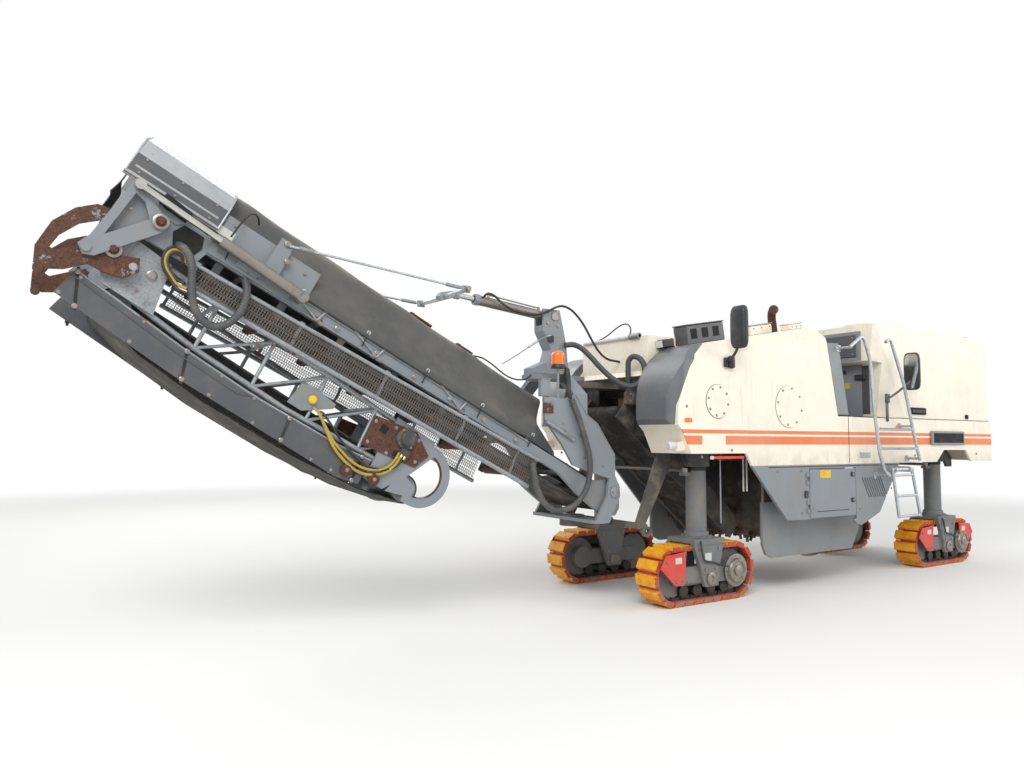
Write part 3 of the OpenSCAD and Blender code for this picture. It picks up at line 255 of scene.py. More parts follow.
def block(lo: Any, hi: Any, edge: float = 0.004) -> tuple[Array, list]:
    """A box with all edges chamfered: eight-sided rings, drawn in at both ends."""
    lo, hi = np.minimum(lo, hi).astype(float), np.maximum(lo, hi).astype(float)
    e = min(edge, 0.45 * float((hi - lo).min()))
    rings = []
    for z, d in ((lo[2], e), (lo[2] + e, 0.0), (hi[2] - e, 0.0), (hi[2], e)):
        x0, x1, y0, y1 = lo[0] + d, hi[0] - d, lo[1] + d, hi[1] - d
        rings.append([[x0 + e, y0, z], [x1 - e, y0, z], [x1, y0 + e, z], [x1, y1 - e, z], [x1 - e, y1, z],
                      [x0 + e, y1, z], [x0, y1 - e, z], [x0, y0 + e, z]])
    return loft(np.array(rings))


def slab(outline: Any, y0: float, y1: float) -> tuple[Array, list]:
    """An outline of (s, n) points, run from y0 to y1."""
    o = np.asarray(outline, float)
    if np.sum(o[:, 0] * np.roll(o[:, 1], -1) - np.roll(o[:, 0], -1) * o[:, 1]) > 0:
        o = o[::-1]
    ring = lambda y: np.stack([o[:, 0], np.full(len(o), y), o[:, 1]], axis=1)
    return loft(np.array([ring(min(y0, y1)), ring(max(y0, y1))]))


def arc(cx: float, cz: float, r: float, a0: float, a1: float, count: int = 12) -> list:
    """Points of an arc, from angle a0 to a1 in degrees."""
    a = np.radians(np.linspace(a0, a1, count))
    return np.stack([cx + r * np.cos(a), cz + r * np.sin(a)], axis=1).tolist()


def disc(r: float, h: float) -> list:
    """The profile of a plain disc, for turned."""
    return [[0, 0], [r, 0], [r, h], [0, h]]


def boss(r: float, h: float, top: float, height: float) -> list:
    """The profile of a disc of height h whose edge is chamfered up to radius top at the full height."""
    return [[0, 0], [r, 0], [r, h], [top, height], [0, height]]


def circle(x: float, y: float, z: float, r: float, count: int, start: float = 0.0) -> list:
    """Points evenly round a circle that faces along Y."""
    turns = np.arange(count) / count * TAU + start
    return [(x + r * math.cos(t), y, z + r * math.sin(t)) for t in turns]


def copies(shape: tuple[Array, list], offsets: Any, turns: Optional[Array] = None) -> tuple[Array, list]:
    """Copies of a shape, each turned by a 3 x 3 matrix and moved by its offset."""
    v, f = shape
    off = np.atleast_2d(np.asarray(offsets, float))
    w = np.broadcast_to(v, (len(off), *v.shape)) if turns is None else np.einsum("kij,nj->kni", turns, v)
    faces = [[i + k * len(v) for i in face] for k in range(len(off)) for face in f]
    return (w + off[:, None]).reshape(-1, 3), faces


BEVEL_SEGMENTS = 2
BEVEL_ANGLE = 40
HEX = [[0.0, 0.0], [0.92, 0.0], [1.0, 0.08], [1.0, 0.62], [0.86, 0.72], [0.0, 0.72]]


def bolts(points: Any, axis: Any, r: float = 0.012, washer: bool = True) -> tuple[Array, list]:
    """Hexagon bolt heads, with washers, whose axes all point one way."""
    head = turned([[a * r, h * r + (0.2 * r if washer else 0)] for a, h in HEX], [0, 0, 0], axis, 6)
    if washer:
        ring = turned(disc(1.35 * r, 0.2 * r), [0, 0, 0], axis, 14)
        head = merged([head, ring])
    return copies(head, points)


def merged(shapes: Sequence[tuple[Array, list]]) -> tuple[Array, list]:
    """Several shapes as one."""
    verts, faces, n = [], [], 0
    for v, f in shapes:
        verts.append(v)
        faces += [[i + n for i in face] for face in f]
        n += len(v)
    return np.vstack(verts), faces


class Form:
    """Shapes gathered in one part's coordinates, which become one object."""

    def __init__(self, place: Place = BODY) -> None:
        """Starts empty, in the coordinates of a place."""
        self.place = place
        self.verts: list[Array] = []
        self.faces: list[list[int]] = []
        self.numbers: list[int] = []
        self.count = 0

    def add(self, shape: tuple[Array, list], finish: int = 0, both: bool = False) -> "Form":
        """Adds a shape.

        Args:
            shape: vertices and faces in the place's coordinates.
            finish: number of the material among the piece's materials.
            both: adds its mirror image across the centre plane too.
        """
        v, f = shape
        sets = [(v, f)]
        if both:
            sets.append((v * np.array([1, -1, 1]), [list(face)[::-1] for face in f]))
        for w, g in sets:
            self.verts.append(self.place.row(w))
            self.faces += [[i + self.count for i in face] for face in g]
            self.numbers += [finish] * len(g)
            self.count += len(w)
        return self

    def piece(self, name: str, body: str, finishes: Sequence["Finish"], slot: str = "", edge: float = 0.0,
              angle: float = 35.0, replaces: Sequence[str] = ()) -> bpy.types.Object:
        """Makes the object, shades it smooth up to an angle and lets it ride on its body.

        Args:
            name: the piece's name.
            body: the CAD body that it moves with.
            finishes: its finishes, in the order of the numbers given to add.
            slot: the record's material slot; not used.
            edge: width of the rounding on its sharp edges, or 0.
            angle: edges sharper than this many degrees stay sharp.
            replaces: CAD nodes that it stands for.
        """
        mesh = bpy.data.meshes.new(name)
        mesh.from_pydata(np.vstack(self.verts).tolist(), [], self.faces)
        for finish in finishes:
            mesh.materials.append(material(finish))
        mesh.polygons.foreach_set("material_index", self.numbers)
        mesh.polygons.foreach_set("use_smooth", [True] * len(mesh.polygons))
        mesh.set_sharp_from_angle(angle=math.radians(angle))
        mesh.update()
        obj = bpy.data.objects.new(name, mesh)
        bpy.context.scene.collection.objects.link(obj)
        if edge:
            bevel = obj.modifiers.new("edges", "BEVEL")
            bevel.width, bevel.segments, bevel.limit_method = edge, BEVEL_SEGMENTS, "ANGLE"
            bevel.angle_limit = math.radians(BEVEL_ANGLE)
            bevel.harden_normals = True
        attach(obj, body)
        if replaces:
            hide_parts(*replaces)
        LOG.info("%s: %d faces on %s", name, len(self.faces), body)
        return obj


def thicken(sheet: bpy.types.Object, thickness: float, offset: float = -1.0) -> None:
    """Gives a sheet its thickness: behind its faces at offset -1, half to each side at 0."""
    layer = sheet.modifiers.new("thickness", "SOLIDIFY")
    layer.thickness, layer.offset = thickness, offset


# ---------------------------------------------------------------- shader maths


class Wire:
    """One output socket of a material's nodes; Python's operators add Math nodes to it."""

    def __init__(self, tree: "Tree", socket: bpy.types.NodeSocket) -> None:
        """Wraps a socket of a tree."""
        self.tree, self.socket = tree, socket

    def _op(self, kind: str, a: Number, b: Number = 0.0) -> "Wire":
        """A Math node over two values."""
        return self.tree.node("ShaderNodeMath", {"operation": kind}, [a, b])

    def __add__(self, o: Number) -> "Wire":
        """Sum."""
        return self._op("ADD", self, o)

    def __sub__(self, o: Number) -> "Wire":
        """Difference."""
        return self._op("SUBTRACT", self, o)

    def __rsub__(self, o: Number) -> "Wire":
        """Difference from a number."""
        return self._op("SUBTRACT", o, self)

    def __mul__(self, o: Number) -> "Wire":
        """Product."""
        return self._op("MULTIPLY", self, o)

    def __truediv__(self, o: Number) -> "Wire":
        """Quotient."""
        return self._op("DIVIDE", self, o)

    def __pow__(self, o: Number) -> "Wire":
        """Power."""
        return self._op("POWER", self, o)

    def __mod__(self, o: Number) -> "Wire":
        """Remainder, always positive."""
        return self._op("FLOORED_MODULO", self, o)

    def __abs__(self) -> "Wire":
        """Size without its sign."""
        return self._op("ABSOLUTE", self)

    __radd__ = __add__
    __rmul__ = __mul__

    def rise(self, lo: float, hi: float) -> "Wire":
        """0 below lo, 1 above hi and smooth between; hi may be the lower one."""
        return self.tree.node("ShaderNodeMapRange", {"interpolation_type": "SMOOTHSTEP"},
                              [self, lo, hi, 0.0, 1.0])

    def within(self, lo: float, hi: float, soft: float) -> "Wire":
        """1 between lo and hi, 0 outside."""
        return self.rise(lo - soft, lo + soft) * self.rise(hi + soft, hi - soft)

    def most(self, o: Number) -> "Wire":
        """The larger of two values."""
        return self._op("MAXIMUM", self, o)


def tone(code: str) -> tuple[float, float, float, float]:
    """A colour code as linear values."""
    c = np.array([int(code[i : i + 2], 16) / 255 for i in (0, 2, 4)])
    return (*np.where(c <= 0.04045, c / 12.92, ((c + 0.055) / 1.055) ** 2.4).tolist(), 1.0)


class Tree:
    """A material's node tree with one Principled shader."""

    def __init__(self, name: str) -> None:
        """Makes an empty material."""
        self.material = bpy.data.materials.new(name)
        self.material.use_nodes = True
        self.nodes = self.material.node_tree.nodes
        self.links = self.material.node_tree.links
        self.nodes.clear()
        self.shader = self.nodes.new("ShaderNodeBsdfPrincipled")
        out = self.nodes.new("ShaderNodeOutputMaterial")
        self.links.new(self.shader.outputs[0], out.inputs[0])
        self.coords = self.nodes.new("ShaderNodeTexCoord").outputs["Object"]

    def node(self, kind: str, settings: Optional[dict] = None, inputs: Union[Sequence, dict] = (),
             output: Union[int, str] = 0) -> Wire:
        """Adds one node.

        Args:
            kind: the node's type.
            settings: its properties, set before its sockets.
            inputs: values or wires, in the sockets' order or by their names.
            output: which output to return.
        """
        n = self.nodes.new(kind)
        for key, value in (settings or {}).items():
            if key == "stops":
                while len(n.color_ramp.elements) < len(value):
                    n.color_ramp.elements.new(0.5)
                for e, (at, colour) in zip(n.color_ramp.elements, value):
                    e.position, e.color = at, colour
            else:
                setattr(n, key, value)
        pairs = inputs.items() if isinstance(inputs, dict) else enumerate(inputs)
        for key, value in pairs:
            if isinstance(value, Wire):
                self.links.new(value.socket, n.inputs[key])
            elif value is not None:
                n.inputs[key].default_value = value
        return Wire(self, n.outputs[output])

    def axes(self) -> tuple[Wire, Wire, Wire]:
        """The object's X, Y and Z as three wires."""
        n = self.nodes.new("ShaderNodeSeparateXYZ")
        self.links.new(self.coords, n.inputs[0])
        return Wire(self, n.outputs[0]), Wire(self, n.outputs[1]), Wire(self, n.outputs[2])

    def at(self, stretch: Sequence[float] = (1, 1, 1), turn: Sequence[float] = (0, 0, 0),
           shift: Sequence[float] = (0, 0, 0)) -> Wire:
        """Object coordinates, turned and stretched."""
        return self.node("ShaderNodeMapping", {}, {"Vector": Wire(self, self.coords), "Scale": stretch,
                                                   "Rotation": turn, "Location": shift})

    def noise(self, scale: float, detail: float = 4.0, rough: float = 0.55,
              stretch: Sequence[float] = (1, 1, 1), shift: Sequence[float] = (0, 0, 0),
              warp: float = 0.0) -> Wire:
        """Noise from about 0.3 to 0.7 over the object."""
        return self.node("ShaderNodeTexNoise", {}, {"Vector": self.at(stretch, shift=shift), "Scale": scale,
                                                    "Detail": detail, "Roughness": rough, "Distortion": warp})

    def cells(self, scale: float, stretch: Sequence[float] = (1, 1, 1), feature: str = "F1") -> Wire:
        """Distance within Voronoi cells."""
        return self.node("ShaderNodeTexVoronoi", {"feature": feature},
                         {"Vector": self.at(stretch), "Scale": scale})

    def mix(self, mask: Number, a: Any, b: Any) -> Wire:
        """Colour a where the mask is 0 and b where it is 1."""
        n = self.nodes.new("ShaderNodeMix")
        n.data_type = "RGBA"
        for socket, value in ((n.inputs["Factor"], mask), (n.inputs[6], a), (n.inputs[7], b)):
            if isinstance(value, Wire):
                self.links.new(value.socket, socket)
            else:
                socket.default_value = value
        return Wire(self, n.outputs[2])

    def bump(self, height: Wire, strength: float, distance: float = 0.002) -> Wire:
        """A Bump node over a height."""
        return self.node("ShaderNodeBump", {}, {"Strength": strength, "Distance": distance, "Height": height})

    def surface(self, **sockets: Any) -> bpy.types.Material:
        """Sets the shader's sockets, named with underscores for spaces."""
        for key, value in sockets.items():
            name = key.replace("_", " ")
            if isinstance(value, Wire):
                self.links.new(value.socket, self.shader.inputs[name])
            else:
                self.shader.inputs[name].default_value = value
        self.material.diffuse_color = (0.5, 0.5, 0.5, 1)
        return self.material


# ---------------------------------------------------------------- finishes


@dataclass(frozen=True)
class Stripe:
    """A painted band along the body's side, between two heights and two places along it."""

    low: float
    high: float
    front: float
    rear: float


STRIPES = (
    Stripe(1.583, 1.618, 0.70, -6.0),
    Stripe(1.482, 1.563, 0.70, 0.288),
    Stripe(1.482, 1.563, -0.016, -6.0),
)


@dataclass(frozen=True)
class Paint:
    """Painted sheet metal with dust, streaks that run down it, chips and orange peel."""

    name: str
    colour: str
    rough: float = 0.42
    coat: float = 0.15
    dust: float = 0.25
    streaks: float = 0.25
    chips: float = 0.0
    under: str = "6b4a38"
    soil: tuple[float, float] = (0.0, 0.6)
    soil_share: float = 0.0
    striped: bool = False

    def make(self) -> bpy.types.Material:
        """Builds the material."""
        t = Tree(self.name)
        x, y, z = t.axes()
        broad = t.noise(1.3, 5, 0.6)
        base: Any = tone(self.colour)
        if self.striped:
            mask: Number = 0.0
            side = abs(y).rise(1.035, 1.045)
            for s in STRIPES:
                band = z.within(s.low, s.high, 0.0012) * x.within(s.rear + FRAME_X, s.front + FRAME_X, 0.0012)
                mask = band + mask
            worn = t.noise(46, 3, 0.7).rise(0.70, 0.76) * 0.55
            base = t.mix(mask * side * (1 - worn), base, tone("e2702a"))
        darker = tuple(0.80 * c for c in tone(self.colour)[:3]) + (1.0,)
        base = t.mix((broad.rise(0.35, 0.72)) * 0.16, base, darker)
        run = t.noise(9, 4, 0.6, (3.2, 3.2, 0.22)).rise(0.50, 0.74)
        base = t.mix(run * t.noise(1.1, 2).rise(0.40, 0.62) * self.streaks, base, tone("7d7263"))
        film = t.noise(5.5, 6, 0.68, shift=(3, 1, 7)).rise(0.42, 0.70) * self.dust
        low = z.rise(self.soil[1], self.soil[0]) * t.noise(7, 5, 0.65).rise(0.30, 0.62) * self.soil_share
        base = t.mix(film.most(low), base, tone("8d8272"))
        rough: Any = t.noise(12, 3) * 0.22 + (self.rough - 0.11)
        rough = rough + film * 0.5 + low * 0.35
        peel = t.noise(420, 2) * 0.06 + t.noise(2.4, 2) * 0.9
        if self.chips:
            spots = t.noise(30, 5, 0.72, shift=(9, 2, 4))
            mask = spots.rise(0.735 - self.chips * 0.2, 0.765 - self.chips * 0.2)
            base = t.mix(mask, base, tone(self.under))
            rough = rough + mask * 0.3
            peel = peel - mask * 0.4
        return t.surface(Base_Color=base, Roughness=rough, Coat_Weight=self.coat, Coat_Roughness=0.3,
                         Normal=t.bump(peel, 0.16, 0.004))


@dataclass(frozen=True)
class Steel:
    """Bare, zinc-coated or chromed steel with streaks and some rust."""

    name: str
    colour: str
    rough: float = 0.38
    metal: float = 0.9
    rust: float = 0.1
    spangle: float = 0.0
    grime: float = 0.2

    def make(self) -> bpy.types.Material:
        """Builds the material."""
        t = Tree(self.name)
        base: Any = tone(self.colour)
        tint = tuple(0.72 * c for c in base[:3]) + (1.0,)
        base = t.mix(t.noise(6, 6, 0.66).rise(0.35, 0.70) * 0.5, base, tint)
        rough: Any = t.noise(28, 4, 0.6) * 0.30 + (self.rough - 0.15)
        bumps: Any = t.noise(160, 3) * 0.25
        if self.spangle:
            cell = t.cells(55)
            base = t.mix(cell.rise(0.2, 0.6) * self.spangle, base, tone("dfe3e6"))
            bumps = bumps + cell * 0.3
        stain = t.noise(4.2, 7, 0.72, shift=(5, 5, 1)).rise(0.70 - 0.30 * self.rust, 0.80 - 0.26 * self.rust)
        base = t.mix(stain, base, t.mix(t.noise(40, 4, 0.7).rise(0.35, 0.65), tone("5c3220"), tone("8a5230")))
        dirt = t.noise(8, 6, 0.7, shift=(1, 8, 3)).rise(0.50, 0.74) * self.grime
        base = t.mix(dirt, base, tone("3b342d"))
        metal = (1 - stain.most(dirt)) * self.metal
        return t.surface(Base_Color=base, Roughness=rough + stain * 0.4 + dirt * 0.35, Metallic=metal,
                         Normal=t.bump(bumps + stain * 0.5, 0.25, 0.003))


@dataclass(frozen=True)
class Rust:
    """Weathered steel: brown scale, orange bloom and remains of paint."""

    name: str
    paint: str = "7d8184"
    left: float = 0.15

    def make(self) -> bpy.types.Material:
        """Builds the material."""
        t = Tree(self.name)
        grain = t.noise(60, 6, 0.75)
        base = t.mix(grain.rise(0.35, 0.66), tone("3d2922"), tone("62402f"))
        bloom = t.noise(7, 6, 0.7, shift=(2, 4, 6)).rise(0.52, 0.68)
        base = t.mix(bloom * 0.45, base, tone("8d5034"))
        kept = t.noise(5, 7, 0.74, shift=(8, 1, 2)).rise(0.66 - 0.35 * self.left, 0.685 - 0.35 * self.left)
        base = t.mix(kept, base, tone(self.paint))
        scale = grain * 0.6 + t.cells(130) * 0.3 - kept * 0.35
        return t.surface(Base_Color=base, Roughness=0.86 - kept * 0.34, Metallic=0.0,
                         Normal=t.bump(scale, 0.5, 0.004))


@dataclass(frozen=True)
class Rubber:
    """Rubber, polyurethane or moulded plastic, dusty in its hollows."""

    name: str
    colour: str
    rough: float = 0.62
    dust: float = 0.35
    grain: float = 240.0
    dust_colour: str = "8a8073"

    def make(self) -> bpy.types.Material:
        """Builds the material."""
        t = Tree(self.name)
        base: Any = tone(self.colour)
        tint = tuple(0.62 * c for c in base[:3]) + (1.0,)
        base = t.mix(t.noise(9, 5, 0.65).rise(0.35, 0.68) * 0.55, base, tint)
        film = t.noise(5, 7, 0.72, shift=(4, 4, 9)).rise(0.44, 0.72) * self.dust
        base = t.mix(film, base, tone(self.dust_colour))
        height = t.noise(self.grain, 3, 0.6) * 0.5 + t.noise(22, 4) * 0.4
        return t.surface(Base_Color=base, Roughness=t.noise(18, 3) * 0.2 + (self.rough - 0.1) + film * 0.3,
                         Normal=t.bump(height, 0.3, 0.002), Specular_IOR_Level=0.4)


@dataclass(frozen=True)
class PadFinish:
    """Yellow polyurethane road pads: scuffed, dirty at the edges, orange where they are worn."""

    name: str = "pad_polyurethane"

    def make(self) -> bpy.types.Material:
        """Builds the material."""
        t = Tree(self.name)
        base = t.mix(t.noise(5, 5, 0.6).rise(0.38, 0.66), tone("f2b01c"), tone("e08a14"))
        worn = t.noise(11, 6, 0.72, shift=(1, 3, 5)).rise(0.55, 0.70)
        base = t.mix(worn * 0.65, base, tone("b96a18"))
        dirt = t.noise(26, 6, 0.74, shift=(7, 2, 2)).rise(0.56, 0.70)
        base = t.mix(dirt * 0.8, base, tone("3a2c20"))
        streak = t.noise(12, 5, 0.7, (0.6, 6.0, 0.6), (2, 9, 4)).rise(0.58, 0.72)
        base = t.mix(streak * 0.5, base, tone("5a3f22"))
        height = t.noise(70, 5, 0.7) * 0.6 - dirt * 0.5
        return t.surface(Base_Color=base, Roughness=t.noise(14, 4) * 0.25 + 0.36 + dirt * 0.2,
                         Normal=t.bump(height, 0.35, 0.003))


@dataclass(frozen=True)
class Canvas:
    """Coated tarpaulin: a fine weave, pale dust on what faces the sky and folds rubbed dark."""

    name: str
    colour: str
    dust: float = 0.5

    def make(self) -> bpy.types.Material:
        """Builds the material."""
        t = Tree(self.name)
        normal = t.node("ShaderNodeSeparateXYZ", {},
                        [Wire(t, t.nodes.new("ShaderNodeNewGeometry").outputs["Normal"])], 2)
        turn = (0, math.radians(BOOM_TILT), 0)
        weave = [t.node("ShaderNodeTexWave", {"wave_type": "BANDS", "bands_direction": axis},
                        {"Vector": t.at(turn=turn), "Scale": 95.0, "Distortion": 0.4, "Detail": 1.0}, 1)
                 for axis in "XYZ"]
        cloth = weave[0] * 0.5 + weave[1] * 0.25 + weave[2] * 0.25
        base: Any = tone(self.colour)
        lighter = tuple(min(1.0, 1.5 * c) for c in base[:3]) + (1.0,)
        base = t.mix(cloth * 0.35, base, lighter)
        film = t.noise(2.6, 7, 0.68, (1, 1, 1), (3, 3, 3)).rise(0.30, 0.68)
        base = t.mix(film * (normal.rise(0.30, 0.85) * 0.88 + 0.12) * self.dust, base, tone("a39a8b"))
        stain = t.noise(7, 6, 0.75, (1, 1, 0.3), (1, 7, 2)).rise(0.58, 0.74)
        base = t.mix(stain * 0.35, base, tone("28251f"))
        rough = t.noise(10, 4) * 0.2 + 0.60
        return t.surface(Base_Color=base, Roughness=rough, Sheen_Weight=0.12,
                         Normal=t.bump(cloth * 0.35 + t.noise(14, 5, 0.6) * 0.9, 0.35, 0.003))


@dataclass(frozen=True)
class Clear:
    """Lamp lenses, reflectors and mirror glass."""

    name: str
    colour: str
    rough: float = 0.08
    metal: float = 0.0

    def make(self) -> bpy.types.Material:
        """Builds the material."""
        t = Tree(self.name)
        base = t.mix(t.noise(30, 4, 0.7).rise(0.5, 0.8) * 0.3, tone(self.colour), tone("6d665c"))
        return t.surface(Base_Color=base, Roughness=t.noise(24, 3) * 0.12 + self.rough, Metallic=self.metal,
                         Coat_Weight=0.6, Coat_Roughness=0.05)


class Finish(Enum):
    """Every finish of the machine, by what it covers."""

    CREAM = Paint("cream_paint", "f1e8d6", 0.36, 0.3, 0.10, 0.22, 0.06, "8c7a62", (1.2, 1.5), 0.35, True)
    BLUE_GREY = Paint("blue_grey_paint", "80878d", 0.45, 0.12, 0.30, 0.35, 0.10, "5a4133", (0.5, 1.1), 0.35)
    BOOM_GREY = Paint("conveyor_paint", "7b8187", 0.48, 0.1, 0.40, 0.55, 0.30, "6a412c", (0.9, 1.4), 0.4)
    DARK_GREY = Paint("dark_grey_paint", "4a4c50", 0.42, 0.15, 0.12, 0.12, 0.04, "5b3d2c", (0.3, 0.9), 0.3)
    FRAME = Paint("chassis_paint", "3a3b3d", 0.6, 0.0, 0.6, 0.3, 0.2, "4a3527", (0.2, 1.4), 0.7)
    FAIRING = Paint("fairing_paint", "5d6166", 0.33, 0.35, 0.22, 0.3, 0.03, "8a8a86", (1.3, 1.8), 0.3)
    CARRIER = Paint("track_carrier_paint", "6c7073", 0.55, 0.0, 0.6, 0.2, 0.25, "4a3527", (0.0, 0.5), 0.85)
    RED = Paint("red_paint", "d8362a", 0.42, 0.15, 0.35, 0.2, 0.16, "8d7f76", (0.1, 0.45), 0.5)
    SHOE = Paint("track_shoe_paint", "c03a20", 0.55, 0.0, 0.4, 0.1, 0.35, "33241c", (0.0, 0.5), 0.7)
    CAST_STEEL = Steel("column_steel", "8d8982", 0.42, 0.75, 0.12, 0.0, 0.55)
    CHROME = Steel("chromed_rod", "c9c8c4", 0.2, 1.0, 0.0, 0.0, 0.15)
    ZINC = Steel("zinc_coated_steel", "a9aeb2", 0.42, 0.75, 0.05, 0.35, 0.2)
    OLD_ZINC = Steel("worn_zinc_steel", "8d9194", 0.5, 0.5, 0.34, 0.12, 0.35)
    SHEET = Steel("bare_sheet", "a9abad", 0.42, 0.35, 0.02, 0.0, 0.22)
    MESH = Steel("mesh_steel", "77736e", 0.5, 0.5, 0.35, 0.0, 0.45)
    BOLT = Steel("bolt_steel", "98928a", 0.4, 0.8, 0.25, 0.0, 0.3)
    BRASS = Steel("fitting_metal", "c9b778", 0.35, 0.8, 0.02, 0.0, 0.25)
    CHAIN = Steel("chain_steel", "4a4440", 0.55, 0.55, 0.35, 0.0, 0.6)
    PICK = Steel("pick_steel", "6b5f55", 0.5, 0.6, 0.6, 0.0, 0.5)
    RUSTY = Rust("rusty_plate", "7d8184", 0.10)
    FLAKING = Rust("flaking_plate", "868c92", 0.52)
    BELT = Rubber("belt_rubber", "242424", 0.7, 0.5, 120)
    HOSE = Rubber("hose_rubber", "26272a", 0.5, 0.25, 260)
    WRAP = Rubber("hose_wrap", "4b4d50", 0.5, 0.35, 200)
    PLASTIC = Rubber("black_plastic", "2b2d31", 0.42, 0.2, 500)
    CURTAIN = Rubber("rubber_curtain", "2f3032", 0.62, 0.3, 80)
    STRAP = Rubber("rubber_strap", "1d1d1e", 0.6, 0.2, 150)
    PAD = PadFinish()
    TARP = Canvas("tarpaulin", "3d3e3f", 0.55)
    LABEL_YELLOW = Rubber("yellow_label", "e8bd2c", 0.4, 0.15, 300)
    LABEL_WHITE = Rubber("white_label", "d9d8d2", 0.4, 0.2, 300)
    HOSE_YELLOW = Rubber("yellow_stripe_hose", "b79a3c", 0.5, 0.3, 260)
    AMBER = Clear("amber_lens", "f2701a", 0.12)
    LAMP_GLASS = Clear("lamp_glass", "cfd3d4", 0.05, 0.3)
    MIRROR_GLASS = Clear("mirror_glass", "c8ccce", 0.04, 0.95)
    # Black for dark parts such as latches and the gland, and painted shade in openings: the boom head's slot,
    # the motor plate's window and the exhaust's mouth.
    BLACK = Rubber("black_inside", "141414", 0.8, 0.1, 100)


_MADE: dict[Finish, bpy.types.Material] = {}


def material(finish: Finish) -> bpy.types.Material:
    """The material of a finish, made once."""
    if finish not in _MADE:
        _MADE[finish] = finish.value.make()
    return _MADE[finish]


NODE_FINISHES: dict[Finish, tuple[str, ...]] = {
    Finish.CREAM: ("front_body", "rear_body", "engine_hood", "roof_fittings"),
    Finish.FAIRING: ("front_fairings",),
    Finish.FRAME: ("main_frame", "slew_bracket", "drum_housing", "primary_conveyor", "engine_block",
                   "platform"),
    Finish.BLUE_GREY: ("left_skirt", "right_skirt", "service_door", "left_side_plate", "right_side_plate",
                       "hood_panels", "slew_frame", "mast", "fold_head"),
    Finish.DARK_GREY: ("fold_cover", "hood_grille", "console"),
    Finish.BOOM_GREY: ("boom_frame", "boom_sides", "fold_levers"),
    Finish.CARRIER: tuple(f"{leg.name}_carrier" for leg in LEGS),
    Finish.RED: tuple(f"{leg.name}_guards" for leg in LEGS),
    Finish.PAD: tuple(f"{leg.name}_track" for leg in LEGS),
    Finish.PICK: ("milling_drum", "scraper"),
    Finish.RUSTY: ("fold_links",),
    Finish.SHEET: ("head_cover",),
    Finish.OLD_ZINC: ("boom_guards", "fold_frame"),
    Finish.ZINC: ("upper_ladder", "lower_ladder", "hoist_stays"),
    Finish.CAST_STEEL: ("front_tie_rod", "rear_tie_rod", "fold_barrel", "hoist_barrel"),
    Finish.CHROME: ("fold_rod", "hoist_rod"),
    Finish.BELT: ("primary_belt", "boom_belt", "fold_belt"),
    Finish.TARP: ("boom_tarp",),
    Finish.PLASTIC: ("mirrors",),
    Finish.AMBER: ("beacon",),
}


def dress_nodes() -> None:
    """Gives every CAD node its finish."""
    for finish, names in NODE_FINISHES.items():
        for name in names:
            mesh = frame["nodes"][name].data
            mesh.materials.clear()
            mesh.materials.append(material(finish))
    LOG.info("finishes on %d CAD nodes", len(frame["nodes"]))


# ---------------------------------------------------------------- stage


